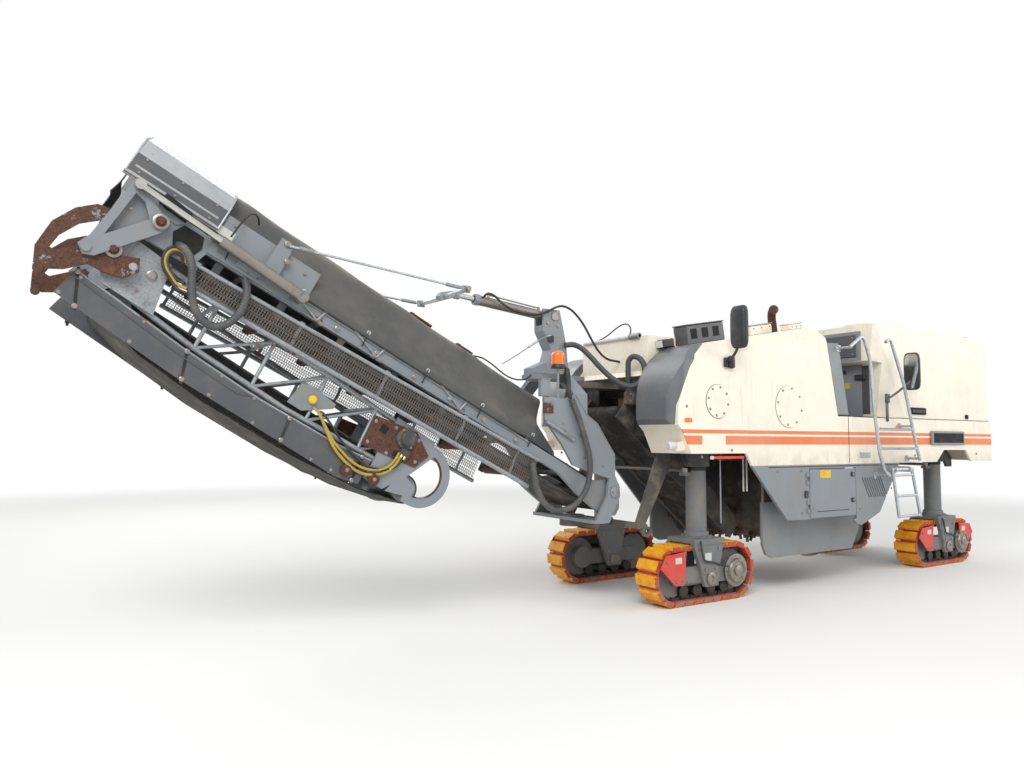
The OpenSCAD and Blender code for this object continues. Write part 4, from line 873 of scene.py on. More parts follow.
@dataclass
class Studio:
    """Camera, lamps, floor and sky."""

    eye: tuple[float, float, float] = (5.4798, 5.8673, 1.5270)
    yaw: float = 0.57697
    pitch: float = 0.071673
    roll: float = 0.005924
    focal_px: float = 758.47
    width_px: int = 1024
    sensor_mm: float = 36.0
    clip: tuple[float, float] = (0.05, 200.0)
    floor: str = "f0efec"
    floor_half: float = 60.0
    fade: tuple[float, float] = (7.0, 20.0)
    sky: str = "f4f6f8"
    sky_strength: float = 0.62

    def set_up(self, data: Any, axes: Sequence[Array], origin: Sequence[float]) -> bpy.types.Object:
        """Puts a camera or lamp into the scene, by its X, Y and Z axes and its origin."""
        obj = bpy.data.objects.new(data.name, data)
        obj.matrix_world = Matrix([(*(axis[row] for axis in axes), origin[row])
                                   for row in range(3)] + [(0, 0, 0, 1)])
        bpy.context.scene.collection.objects.link(obj)
        return obj

    def camera(self) -> None:
        """Sets the camera where the photograph was taken from."""
        cy, sy, cp, sp = math.cos(self.yaw), math.sin(self.yaw), math.cos(self.pitch), math.sin(self.pitch)
        ahead = np.array([-sy * cp, -cy * cp, sp])
        right = np.array([-cy, sy, 0.0])
        up = np.cross(right, ahead)
        c, s = math.cos(self.roll), math.sin(self.roll)
        right, up = right * c + up * s, up * c - right * s
        data = bpy.data.cameras.new("camera")
        data.sensor_width = self.sensor_mm
        data.lens = self.focal_px / self.width_px * data.sensor_width
        data.clip_start, data.clip_end = self.clip
        eye = (self.eye[0] + FRAME_X, *self.eye[1:])
        bpy.context.scene.camera = self.set_up(data, (right, up, -ahead), eye)

    def lamp(self, name: str, place: tuple, aim: tuple, size: float, watts: float,
             colour: str = "ffffff") -> None:
        """A square area lamp that points at a place."""
        data = bpy.data.lights.new(name, "AREA")
        data.size, data.energy, data.color = size, watts, tone(colour)[:3]
        z = unit(np.array(place, float) - np.array(aim, float))
        x = unit(np.cross([0, 0, 1.0], z))
        self.set_up(data, (x, np.cross(z, x), z), place)

    def floor_material(self) -> bpy.types.Material:
        """Pale floor that keeps shadows near the machine and fades to the white background far from it."""
        t = Tree("floor")
        t.surface(Base_Color=tone(self.floor), Roughness=0.85)
        x, y, _ = t.axes()
        far = (x * x + y * y).rise(self.fade[0] ** 2, self.fade[1] ** 2)
        path = t.nodes.new("ShaderNodeLightPath").outputs
        seen = Wire(t, path["Is Camera Ray"]).most(Wire(t, path["Is Glossy Ray"]))
        white = t.node("ShaderNodeEmission", {}, {"Color": (1, 1, 1, 1), "Strength": 1.0})
        both = t.node("ShaderNodeMixShader", {}, [far * seen, Wire(t, t.shader.outputs[0]), white])
        t.links.new(both.socket, t.nodes["Material Output"].inputs[0])
        return t.material

    def set_sky(self) -> None:
        """Soft light from a pale sky that itself shows white, in reflections and through glass too."""
        world = bpy.data.worlds.new("sky")
        bpy.context.scene.world = world
        world.use_nodes = True
        nodes, links = world.node_tree.nodes, world.node_tree.links
        nodes.clear()
        kinds = ("OutputWorld", "Background", "Background", "MixShader", "LightPath", "Math", "Math")
        out, lit, seen, mix, path, *most = (nodes.new(f"ShaderNode{kind}") for kind in kinds)
        lit.inputs[0].default_value, lit.inputs[1].default_value = tone(self.sky), self.sky_strength
        seen.inputs[0].default_value, seen.inputs[1].default_value = (1, 1, 1, 1), 1.0
        most[0].operation = most[1].operation = "MAXIMUM"
        rays = path.outputs
        for source, target in ((rays["Is Camera Ray"], most[0].inputs[0]),
                               (rays["Is Glossy Ray"], most[0].inputs[1]),
                               (most[0].outputs[0], most[1].inputs[0]),
                               (rays["Is Transmission Ray"], most[1].inputs[1]),
                               (most[1].outputs[0], mix.inputs[0]), (lit.outputs[0], mix.inputs[1]),
                               (seen.outputs[0], mix.inputs[2]), (mix.outputs[0], out.inputs[0])):
            links.new(source, target)

    def build(self) -> None:
        """Makes the floor, the sky and the lamps."""
        scene = bpy.context.scene
        scene.view_settings.view_transform = "Standard"
        mesh = bpy.data.meshes.new("floor")
        h = self.floor_half
        mesh.from_pydata([(-h, -h, 0), (h, -h, 0), (h, h, 0), (-h, h, 0)], [], [(0, 1, 2, 3)])
        mesh.materials.append(self.floor_material())
        floor = bpy.data.objects.new("floor", mesh)
        scene.collection.objects.link(floor)
        floor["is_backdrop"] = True
        self.set_sky()
        self.lamp("key", (9, 9, 11), (0, 0, 1), 8, 1500)
        self.lamp("fill", (-10, 8, 7), (-2, 0, 1), 9, 500)
        self.lamp("rim", (2, -11, 9), (0, 0, 1.5), 8, 500)


# ---------------------------------------------------------------- hoses


@dataclass
class Hoses:
    """Hydraulic hoses, wrapped bundles and cables, each laid along a route between two places."""

    wrapped: float = 0.056
    rib_pitch: float = 0.020
    rib_depth: float = 0.055
    step: float = 0.012
    pressure: float = 0.022
    cable: float = 0.014

    def lay(self, name: str, body: str, route: Sequence, diameter: float, finish: Finish, place: Place = BODY,
            ribs: float = 0.0, stiffness: str = "limp", lay: str = "hanging") -> None:
        """Ribs are rings of a spiral wrap: the radius swells and shrinks once every `ribs` metres.

        Args:
            name: the hose's name.
            body: the CAD body that it moves with.
            route: points in the place's coordinates, from its exit to where it goes back in.
            diameter: outside diameter.
            finish: its rubber or wrap.
            place: coordinates of the route.
            ribs: pitch of the wrap, or 0 for a smooth hose.
            stiffness: how stiff it is; not used.
            lay: how it lies; not used.
        """
        path = even_path(route, ribs / 4 if ribs else self.step)
        radius: Any = diameter / 2
        if ribs:
            radius = radius * (1 - self.rib_depth + self.rib_depth * np.sin(np.arange(len(path)) * TAU / 4))
        form = Form(place).add(tube(path, radius, 14 if ribs else 10))
        hose = form.piece(name, body, (finish,), "black_rubber", 0.0, 80)
        line = place.row(path)

    def head(self) -> None:
        """Hoses between the slewing head and the front body."""
        route = [(1.12, 0.10, 2.42), (1.03, 0.11, 2.43), (0.95, 0.13, 2.40), (0.88, 0.18, 2.32),
                 (0.81, 0.25, 2.21), (0.74, 0.33, 2.11), (0.67, 0.40, 2.05), (0.60, 0.455, 2.03),
                 (0.54, 0.495, 2.06), (0.495, 0.515, 2.14), (0.485, 0.505, 2.23), (0.505, 0.465, 2.30),
                 (0.54, 0.41, 2.32), (0.55, 0.36, 2.28), (0.54, 0.34, 2.20), (0.53, 0.33, 2.11),
                 (0.515, 0.32, 2.01), (0.50, 0.315, 1.935)]
        self.lay("wrapped_hose_to_body", "slewing_head", route, self.wrapped, Finish.WRAP,
                 ribs=self.rib_pitch)
        route = [(1.36, 0.514, 1.88), (1.335, 0.525, 1.81), (1.285, 0.535, 1.68), (1.228, 0.535, 1.53),
                 (1.181, 0.535, 1.38), (1.172, 0.535, 1.235), (1.21, 0.535, 1.09), (1.285, 0.535, 0.995),
                 (1.36, 0.535, 0.94), (1.433, 0.535, 0.915), (1.51, 0.53, 0.908), (1.59, 0.53, 0.925),
                 (1.674, 0.53, 0.985), (1.738, 0.53, 1.09), (1.765, 0.52, 1.204), (1.765, 0.485, 1.315)]
        self.lay("wrapped_hose_to_conveyor", "slewing_head", route, self.wrapped, Finish.WRAP,
                 ribs=self.rib_pitch)
        route = [(2.02, 0.062, 2.79), (1.97, 0.07, 2.83), (1.90, 0.08, 2.81), (1.83, 0.085, 2.755),
                 (1.75, 0.09, 2.715), (1.67, 0.09, 2.695), (1.54, 0.09, 2.68), (1.42, 0.092, 2.69),
                 (1.32, 0.094, 2.73), (1.23, 0.094, 2.775), (1.15, 0.094, 2.795), (1.06, 0.095, 2.775),
                 (0.97, 0.095, 2.715), (0.885, 0.10, 2.62), (0.80, 0.10, 2.50), (0.71, 0.10, 2.39),
                 (0.60, 0.10, 2.32), (0.44, 0.10, 2.30)]
        self.lay("hoist_cylinder_hose", "slewing_head", route, self.pressure, Finish.HOSE, stiffness="medium")
        for k in range(3):
            shift = np.array([0.027 * k - 0.02, 0.004 * k, 0.012 * k])
            route = np.array([(1.36, 0.462, 1.985), (1.365, 0.463, 2.05), (1.375, 0.468, 2.11),
                              (1.385, 0.478, 2.145), (1.392, 0.495, 2.12), (1.392, 0.508, 2.05),
                              (1.388, 0.512, 1.96), (1.375, 0.513, 1.88)])
            route = route + shift * np.linspace(1, 0.35, len(route))[:, None]
            self.lay(f"head_hose_{k + 1}", "slewing_head", route.tolist(), self.pressure, Finish.HOSE,
                     stiffness="medium")
        route = [(0.42, -0.36, 2.545), (0.40, -0.26, 2.56), (0.38, -0.15, 2.60), (0.37, -0.04, 2.655),
                 (0.36, 0.06, 2.69), (0.36, 0.14, 2.68), (0.37, 0.19, 2.63), (0.38, 0.19, 2.575),
                 (0.40, 0.14, 2.545), (0.42, 0.06, 2.54)]
        self.lay("roof_cable", "chassis", route, self.cable, Finish.HOSE, stiffness="medium")

    def boom(self) -> None:
        """Hoses at the boom's head and the cable along its ridge."""
        route = [(4.165, 0.45, -0.165), (4.15, 0.485, -0.17), (4.115, 0.515, -0.185), (4.06, 0.52, -0.225),
                 (4.014, 0.52, -0.286), (3.975, 0.52, -0.36), (3.93, 0.52, -0.436), (3.875, 0.52, -0.50),
                 (3.80, 0.52, -0.54), (3.72, 0.52, -0.54), (3.655, 0.52, -0.48), (3.625, 0.52, -0.40),
                 (3.622, 0.52, -0.32), (3.635, 0.515, -0.25), (3.66, 0.495, -0.18), (3.69, 0.455, -0.13)]
        self.lay("wrapped_hose_at_fold", "boom", route, self.wrapped, Finish.WRAP, BOOM, self.rib_pitch)
        for k, finish in enumerate((Finish.HOSE, Finish.HOSE_YELLOW, Finish.HOSE)):
            grow = 1.0 - 0.17 * k
            route = np.array([(3.955, 0.50, -0.43), (4.03, 0.475, -0.43), (4.10, 0.465, -0.395),
                              (4.16, 0.467, -0.36), (4.20, 0.468, -0.31), (4.212, 0.468, -0.255),
                              (4.195, 0.466, -0.205), (4.155, 0.463, -0.18), (4.11, 0.462, -0.185),
                              (4.08, 0.458, -0.215), (4.07, 0.450, -0.235)])
            route[:, [0, 2]] = np.array([4.12, -0.28]) + grow * (route[:, [0, 2]] - [4.12, -0.28])
            self.lay(f"fold_hose_{k + 1}", "boom", route.tolist(), self.pressure, finish, BOOM,
                     stiffness="limp")
        route = [(3.79, 0.318, 0.322), (3.82, 0.36, 0.345), (3.86, 0.41, 0.34), (3.89, 0.45, 0.30),
                 (3.905, 0.48, 0.24), (3.915, 0.505, 0.17), (3.92, 0.52, 0.11), (3.924, 0.528, 0.062)]
        self.lay("cylinder_cable", "fold_cylinder_barrels", route, self.cable, Finish.HOSE, BOOM,
                 stiffness="medium")
        route = [(2.11, 0.0, 2.268), (2.05, 0.0, 2.262), (1.98, 0.0, 2.25), (1.905, 0.0, 2.215),
                 (1.84, 0.0, 2.175), (1.78, 0.0, 2.135), (1.71, 0.0, 2.098), (1.64, 0.01, 2.076),
                 (1.57, 0.02, 2.072), (1.51, 0.03, 2.09), (1.475, 0.035, 2.13), (1.45, 0.04, 2.19)]
        self.lay("ridge_cable", "boom", route, self.cable, Finish.HOSE, stiffness="medium")

    def fold(self) -> None:
        """The pair of striped hoses and the black one that feed the folding section's belt motor."""
        route = np.array([(-1.69, 0.384, -0.135), (-1.72, 0.405, -0.15), (-1.77, 0.418, -0.19),
                          (-1.82, 0.42, -0.226), (-1.875, 0.42, -0.265), (-1.93, 0.42, -0.30),
                          (-1.985, 0.42, -0.325), (-2.04, 0.42, -0.342), (-2.11, 0.42, -0.36),
                          (-2.19, 0.42, -0.365), (-2.26, 0.42, -0.352), (-2.32, 0.42, -0.325),
                          (-2.38, 0.42, -0.28), (-2.42, 0.42, -0.22), (-2.44, 0.42, -0.15),
                          (-2.445, 0.415, -0.07)])
        for k, finish in enumerate((Finish.HOSE_YELLOW, Finish.HOSE_YELLOW, Finish.HOSE)):
            one = route.copy()
            dip = np.sin(np.linspace(0, math.pi, len(one)))
            one[:, 2] += 0.040 * k * dip
            one[:, 0] += (0.0, 0.024, -0.024)[k]
            self.lay(f"belt_motor_hose_{k + 1}", "folding_section", one.tolist(), self.pressure - 0.002 * k,
                     finish, FOLD, stiffness="medium")

    def build(self) -> None:
        """Makes every hose."""
        self.head()
        self.boom()
        self.fold()


# ---------------------------------------------------------------- tracks


def turn_y(degrees: Array) -> Array:
    """Matrices that turn the X axis towards the Z axis."""
    a = np.radians(np.asarray(degrees, float))
    c, s, o, i = np.cos(a), np.sin(a), np.zeros_like(a), np.ones_like(a)
    return np.stack([np.stack([c, o, -s], -1), np.stack([o, i, o], -1), np.stack([s, o, c], -1)], -2)


@dataclass
class Tracks:
    """Four crawler tracks: chain links, steel shoes and bolted polyurethane pads on one loop each."""

    height: float = 0.55
    length: float = 1.33
    half_width: float = 0.13
    pad: float = 0.032
    band: float = 0.046
    shoes: int = 24

    def loop(self, share: Array) -> tuple[Array, Array]:
        """Points and headings along the chain line for shares 0 to 1 of its length.

        The line is two straights of twice `a`, joined by half circles of radius `r`.
        """
        r = self.height / 2 - self.pad - self.band / 2
        a = (self.length - self.height) / 2
        total = 4 * a + TAU * r
        t = (share % 1.0) * total
        w1, w2 = (t - 2 * a) / r, (t - 4 * a - math.pi * r) / r
        cases = [t < 2 * a, t < 2 * a + math.pi * r, t < 4 * a + math.pi * r]
        x = np.select(cases, [t - a, a + r * np.sin(w1), a - (t - 2 * a - math.pi * r)], -a - r * np.sin(w2))
        z = np.select(cases, [-r + 0 * t, -r * np.cos(w1), r + 0 * t], r * np.cos(w2))
        heading = np.select(cases, [0 * t, np.degrees(w1), 180 + 0 * t], 180 + np.degrees(w2))
        return np.stack([x, 0 * x, z + self.height / 2], axis=1), heading

    def shoe(self) -> list[tuple[tuple[Array, list], int]]:
        """One shoe about its chain point: pad, plate, links, pin and bolts, each with its finish number."""
        half, low = self.half_width, -self.band / 2 - self.pad
        runs = 2 * (self.length - self.height)
        bends = TAU * (self.height / 2 - self.pad - self.band / 2)
        pitch = (runs + bends) / self.shoes
        u = pitch / 2
        tread = slab([(-u * 0.80, low + 0.012), (-u * 0.68, low), (u * 0.68, low), (u * 0.80, low + 0.012),
                      (u * 0.86, -0.016), (-u * 0.86, -0.016)], -half + 0.002, half - 0.002)
        groove = [slab([(-u * 0.80, low + 0.012), (-u * 0.74, low + 0.006), (-u * 0.80, -0.018)],
                       s * (half - 0.002), s * (half + 0.0015)) for s in (-1, 1)]
        plate = slab([(-u * 1.02, -0.020), (u * 0.93, -0.020), (u * 1.04, -0.012), (u * 1.04, -0.004),
                      (-u * 0.92, -0.004), (-u * 1.02, -0.012)], -half, half)
        cleats = [block((-u * 0.8, s * half - 0.006, -0.05), (u * 0.8, s * half + 0.001 * s, -0.010), 0.003)
                  for s in (-1, 1)]
        near, far = arc(-u * 0.95, 0.012, 0.021, 250, 90, 5), arc(u * 0.95, 0.012, 0.021, 90, -70, 5)
        link = near + [(0, 0.022)] + far
        links = [slab(link, s * y, s * (y + 0.011)) for s in (-1, 1) for y in (0.044, 0.060)]
        pin = turned([[0.0, -0.078], [0.011, -0.078], [0.011, 0.078], [0.0, 0.078]], (u, 0, 0.012), LEFT, 8)
        bush = turned([[0.0, -0.043], [0.017, -0.043], [0.017, 0.043], [0.0, 0.043]], (u, 0, 0.012), LEFT, 10)
        heads = bolts([(sx * u * 0.45, s * 0.096, -0.004) for sx in (-1, 1) for s in (-1, 1)], UP, 0.009,
                      False)
        return [(tread, 0), (merged(groove), 2), (plate, 1), (merged(cleats), 1), (merged(links), 2),
                (pin, 2), (bush, 3), (heads, 3)]

    def build(self) -> None:
        """Makes the four tracks in place of their CAD loops."""
        share = np.arange(self.shoes) / self.shoes
        points, heading = self.loop(share)
        turns = turn_y(heading)
        for leg in LEGS:
            form = Form(leg.place)
            for shape, number in self.shoe():
                form.add(copies(shape, points, turns), number)
            finishes = (Finish.PAD, Finish.SHOE, Finish.CHAIN, Finish.BOLT)
            form.piece(f"{leg.name}_track_chain", f"{leg.name}_leg", finishes, "yellow_pads", 0.0, 40,
                       [f"{leg.name}_track"])


@dataclass
class TrackCarriers:
    """Details on the four track carriers: travel motor cover, tensioner box, rollers, bolts and labels."""

    half: float = 0.39
    plate_y: float = 0.178

    def leg(self, leg: Leg) -> None:
        """Dresses one leg; the outer side carries the motor cover."""
        form = Form(leg.place)
        out = leg.side
        a, z = self.half, 0.275
        face = 0.142 * out
        cover = [[0.0, 0.0], [0.155, 0.0], [0.155, 0.012], [0.118, 0.016], [0.112, 0.034], [0.108, 0.040],
                 [0.086, 0.040], [0.083, 0.033], [0.052, 0.033], [0.049, 0.046], [0.040, 0.052], [0.0, 0.052]]
        form.add(turned(cover, (-a, face - 0.012 * out, z), (0, out, 0), 40), 1)
        form.add(bolts(circle(-a, face + 0.001 * out, z, 0.134, 12), (0, out, 0), 0.0085, False), 1)
        form.add(bolts(circle(-a, face + 0.028 * out, z, 0.097, 8), (0, out, 0), 0.007, False), 1)
        flank = [[0.030, 0.1], [0.056, 0.094], [0.056, 0.062], [0.045, 0.056]]
        roller = [[0, -0.1], *([r, -h] for r, h in flank), *flank[::-1], [0, 0.1]]
        form.add(merged([turned(roller, (x, 0, 0.129), LEFT, 20) for x in np.linspace(-0.27, 0.27, 4)]), 3)
        frame_low = slab([(-0.33, 0.185), (0.33, 0.185), (0.36, 0.24), (0.34, 0.335), (-0.20, 0.345),
                          (-0.34, 0.30)], 0.072 * out, 0.118 * out)
        form.add(frame_low, 0)
        box = slab([(0.10, 0.205), (0.42, 0.215), (0.45, 0.262), (0.41, 0.352), (0.14, 0.358), (0.10, 0.33)],
                   0.118 * out, 0.148 * out)
        form.add(box, 0)
        form.add(bolts([(0.14, 0.148 * out, 0.225), (0.40, 0.148 * out, 0.232), (0.15, 0.148 * out, 0.34),
                        (0.39, 0.148 * out, 0.335), (0.27, 0.148 * out, 0.225)], (0, out, 0), 0.008), 1)
        for s in (-1, 1):
            y = s * self.plate_y
            form.add(slab([(-0.165, 0.545), (0.225, 0.545), (0.12, 0.30), (0.095, 0.285), (-0.07, 0.285),
                           (-0.10, 0.30)], y, y + 0.008 * s), 0)
            form.add(bolts([(-0.10, y + 0.008 * s, 0.51), (0.16, y + 0.008 * s, 0.51),
                            (-0.055, y + 0.008 * s, 0.325), (0.075, y + 0.008 * s, 0.325)], (0, s, 0), 0.012),
                     1)
            form.add(turned([[0, 0], [0.060, 0], [0.060, 0.014], [0.046, 0.020], [0.030, 0.020],
                             [0.026, 0.010], [0, 0.010]], (0, y, 0.235), (0, s, 0), 28), 1)
        form.add(turned([[0.100, 0.0], [0.150, 0.0], [0.150, 0.014], [0.118, 0.018], [0.112, 0.060],
                         [0.100, 0.062], [0.100, 0.0]], (0, 0, 0.602), UP, 40), 0)
        flange = [(0.134 * math.cos(t), 0.134 * math.sin(t), 0.616) for t in np.arange(10) / 10 * TAU]
        form.add(bolts(flange, UP, 0.010), 1)
        form.add(turned([[0.0975, 0.0], [0.102, 0.004], [0.102, 0.03], [0.0975, 0.034]], (0, 0, 1.232), UP,
                        40), 2)
        y = self.plate_y * out + 0.0085 * out
        form.add(block((0.0, y, 0.395), (0.085, y + 0.0012 * out, 0.475), 0.0004), 4)
        form.add(tube(smooth_path([(0.10, 0.12 * out, 0.60), (0.14, 0.19 * out, 0.57),
                                   (0.145, 0.215 * out, 0.47), (0.10, 0.205 * out, 0.41),
                                   (-0.02, 0.196 * out, 0.385), (-0.14, 0.190 * out, 0.345),
                                   (-0.235, 0.180 * out, 0.33)], 40), 0.009, 8), 5)
        finishes = (Finish.CARRIER, Finish.BOLT, Finish.STRAP, Finish.CHAIN, Finish.LABEL_WHITE, Finish.HOSE)
        form.piece(f"{leg.name}_carrier_parts", f"{leg.name}_leg", finishes, "blue_grey", 0.002)

    def guard(self, leg: Leg) -> None:
        """Bolts, folded edge and blank label on a leg's red guards; a rear leg has one at both ends."""
        form = Form(leg.place)
        side = leg.side
        y0 = 0.162 * side
        edge = [(0.300, 0.500), (0.550, 0.480), (0.620, 0.370)]
        for sx in ((1, -1) if leg.name.startswith("rear") else (1,)):
            lip = [(sx * p[0], y0 - 0.004 * side, p[1] - 0.004) for p in edge]
            form.add(tube(lip, 0.007, 8), 0)
            form.add(bolts([(sx * 0.335, y0, 0.47), (sx * 0.345, y0, 0.24), (sx * 0.42, y0, 0.235),
                            (sx * 0.545, y0, 0.42)], (0, side, 0), 0.010), 1)
            form.add(block((sx * 0.36, y0, 0.40), (sx * 0.44, y0 + 0.0012 * side, 0.455), 0.0004), 2)
        form.piece(f"{leg.name}_guard_parts", f"{leg.name}_leg",
                   (Finish.RED, Finish.BOLT, Finish.LABEL_WHITE), "red")

    def build(self) -> None:
        """Dresses all four legs."""
        for leg in LEGS:
            self.leg(leg)
            self.guard(leg)


# ---------------------------------------------------------------- conveyor


@dataclass
class BoomCover:
    """The tarpaulin over the main conveyor: one sheet over five hoops, with hem, eyelets and straps."""

    start: float = 0.98
    end: float = 4.02
    half: float = 0.4405
    rise: float = 0.493
    hem_n: float = -0.016
    cloth: float = 0.0025
    rows: int = 150
    cols: int = 61
    hoops: tuple[float, ...] = (1.055, 1.7725, 2.49, 3.2075, 3.925)
    eyelets: tuple[float, ...] = (1.016, 1.586, 2.159, 2.737, 3.31, 3.88)

    def section(self) -> Array:
        """The arch over a hoop as (y, n) points evenly spaced along it, from the left hem to the right."""
        h, r = self.half + 0.004, self.rise
        half = np.array([(h + 0.012, self.hem_n), (h, 0.034), (0.226, r - 0.061), (0.06, r - 0.002),
                         (0.0, r + 0.001)])
        pts = np.vstack([half, half[-2::-1] * [-1, 1]])
        d = np.concatenate([[0], np.cumsum(np.linalg.norm(np.diff(pts, axis=0), axis=1))])
        t = np.linspace(0, d[-1], self.cols)
        line = np.stack([np.interp(t, d, pts[:, 0]), np.interp(t, d, pts[:, 1])], axis=1)
        for _ in range(3):
            line[1:-1] = 0.25 * line[:-2] + 0.5 * line[1:-1] + 0.25 * line[2:]
        return line

    def grid(self) -> Array:
        """The sheet's points: it touches the hoops, sags between them and creases towards its straps."""
        s = np.linspace(self.start, self.end, self.rows)
        line = self.section()
        v = np.linspace(-1, 1, self.cols)
        near = np.min(np.abs(s[:, None] - np.array(self.hoops)), axis=1)
        gap = np.clip(near / 0.40, 0, 1) ** 1.5
        flank = np.clip(1 - (np.abs(np.abs(v) - 0.52) / 0.40) ** 2, 0, 1)
        sag = gap[:, None] * (0.020 * flank + 0.010 * (1 - np.abs(v)))
        crease = 0.0075 * np.sin(s[:, None] * 15 + 5 * np.abs(v) + 1.5 * np.sin(3.1 * s[:, None])) * flank
        crease += 0.005 * np.sin(s[:, None] * 31 - 9 * v) * np.clip(np.abs(v) - 0.35, 0, 1)
        foot = np.clip((1.22 - s) / 0.24, 0, 1)[:, None]
        out = 0.012 + crease * (0.35 + 0.65 * gap[:, None]) - sag + 0.010 * foot * np.sin(v * 14)
        tangent = np.gradient(line, axis=0)
        normal = unit(np.stack([tangent[:, 1], -tangent[:, 0]], axis=1))
        outward = unit(line - np.array([0.0, 0.05]))
        normal = normal * np.sign(np.sum(normal * outward, axis=1, keepdims=True))
        yz = line[None] + normal[None] * np.maximum(out, 0.004)[..., None]
        lift = 0.028 * foot * np.exp(-(((np.abs(v) - 1) / 0.25) ** 2))
        grid = np.empty((self.rows, self.cols, 3))
        ends = foot + np.clip((s - 3.9) / 0.12, 0, 1)[:, None]
        grid[..., 0] = s[:, None] + 0.012 * np.sin(6 * v)[None, :] * ends
        grid[..., 1] = yz[..., 0]
        grid[..., 2] = yz[..., 1] + lift
        return grid

    def build(self) -> None:
        """Makes the sheet, its hem, eyelets and the straps that hold it."""
        grid = self.grid()
        form = Form(BOOM).add(sheet_grid(grid))
        sheet = form.piece("conveyor_tarpaulin", "boom", (Finish.TARP,), "tarp", 0.0, 60, ["boom_tarp"])
        thicken(sheet, self.cloth)
        trim = Form(BOOM)
        for col in (0, -1):
            hem = grid[:, col] + np.array([0, 0, 0.012])
            trim.add(tube(hem[::3], 0.0045, 8), 0)
        for s in self.eyelets:
            i = int(np.argmin(np.abs(grid[:, 0, 0] - s)))
            for col, side in ((2, 1), (-3, -1)):
                p = grid[i, col]
                out = np.array([0, side, 0.05])
                ring = turned([[0.009, 0], [0.017, 0], [0.017, 0.003], [0.013, 0.0045], [0.009, 0.003],
                               [0.009, 0]], p + out * 0.002, out, 18)
                trim.add(ring, 1)
                tail = [p + out * 0.006, p + [0.004, side * 0.012, -0.03], p + [0.0, side * 0.006, -0.075],
                        p + [-0.004, -side * 0.006, -0.115]]
                trim.add(tube(smooth_path(tail, 12), 0.0045, 6), 2)
        trim.piece("tarpaulin_hem_and_eyelets", "boom", (Finish.TARP, Finish.ZINC, Finish.STRAP), "tarp", 0.0,
                   50)


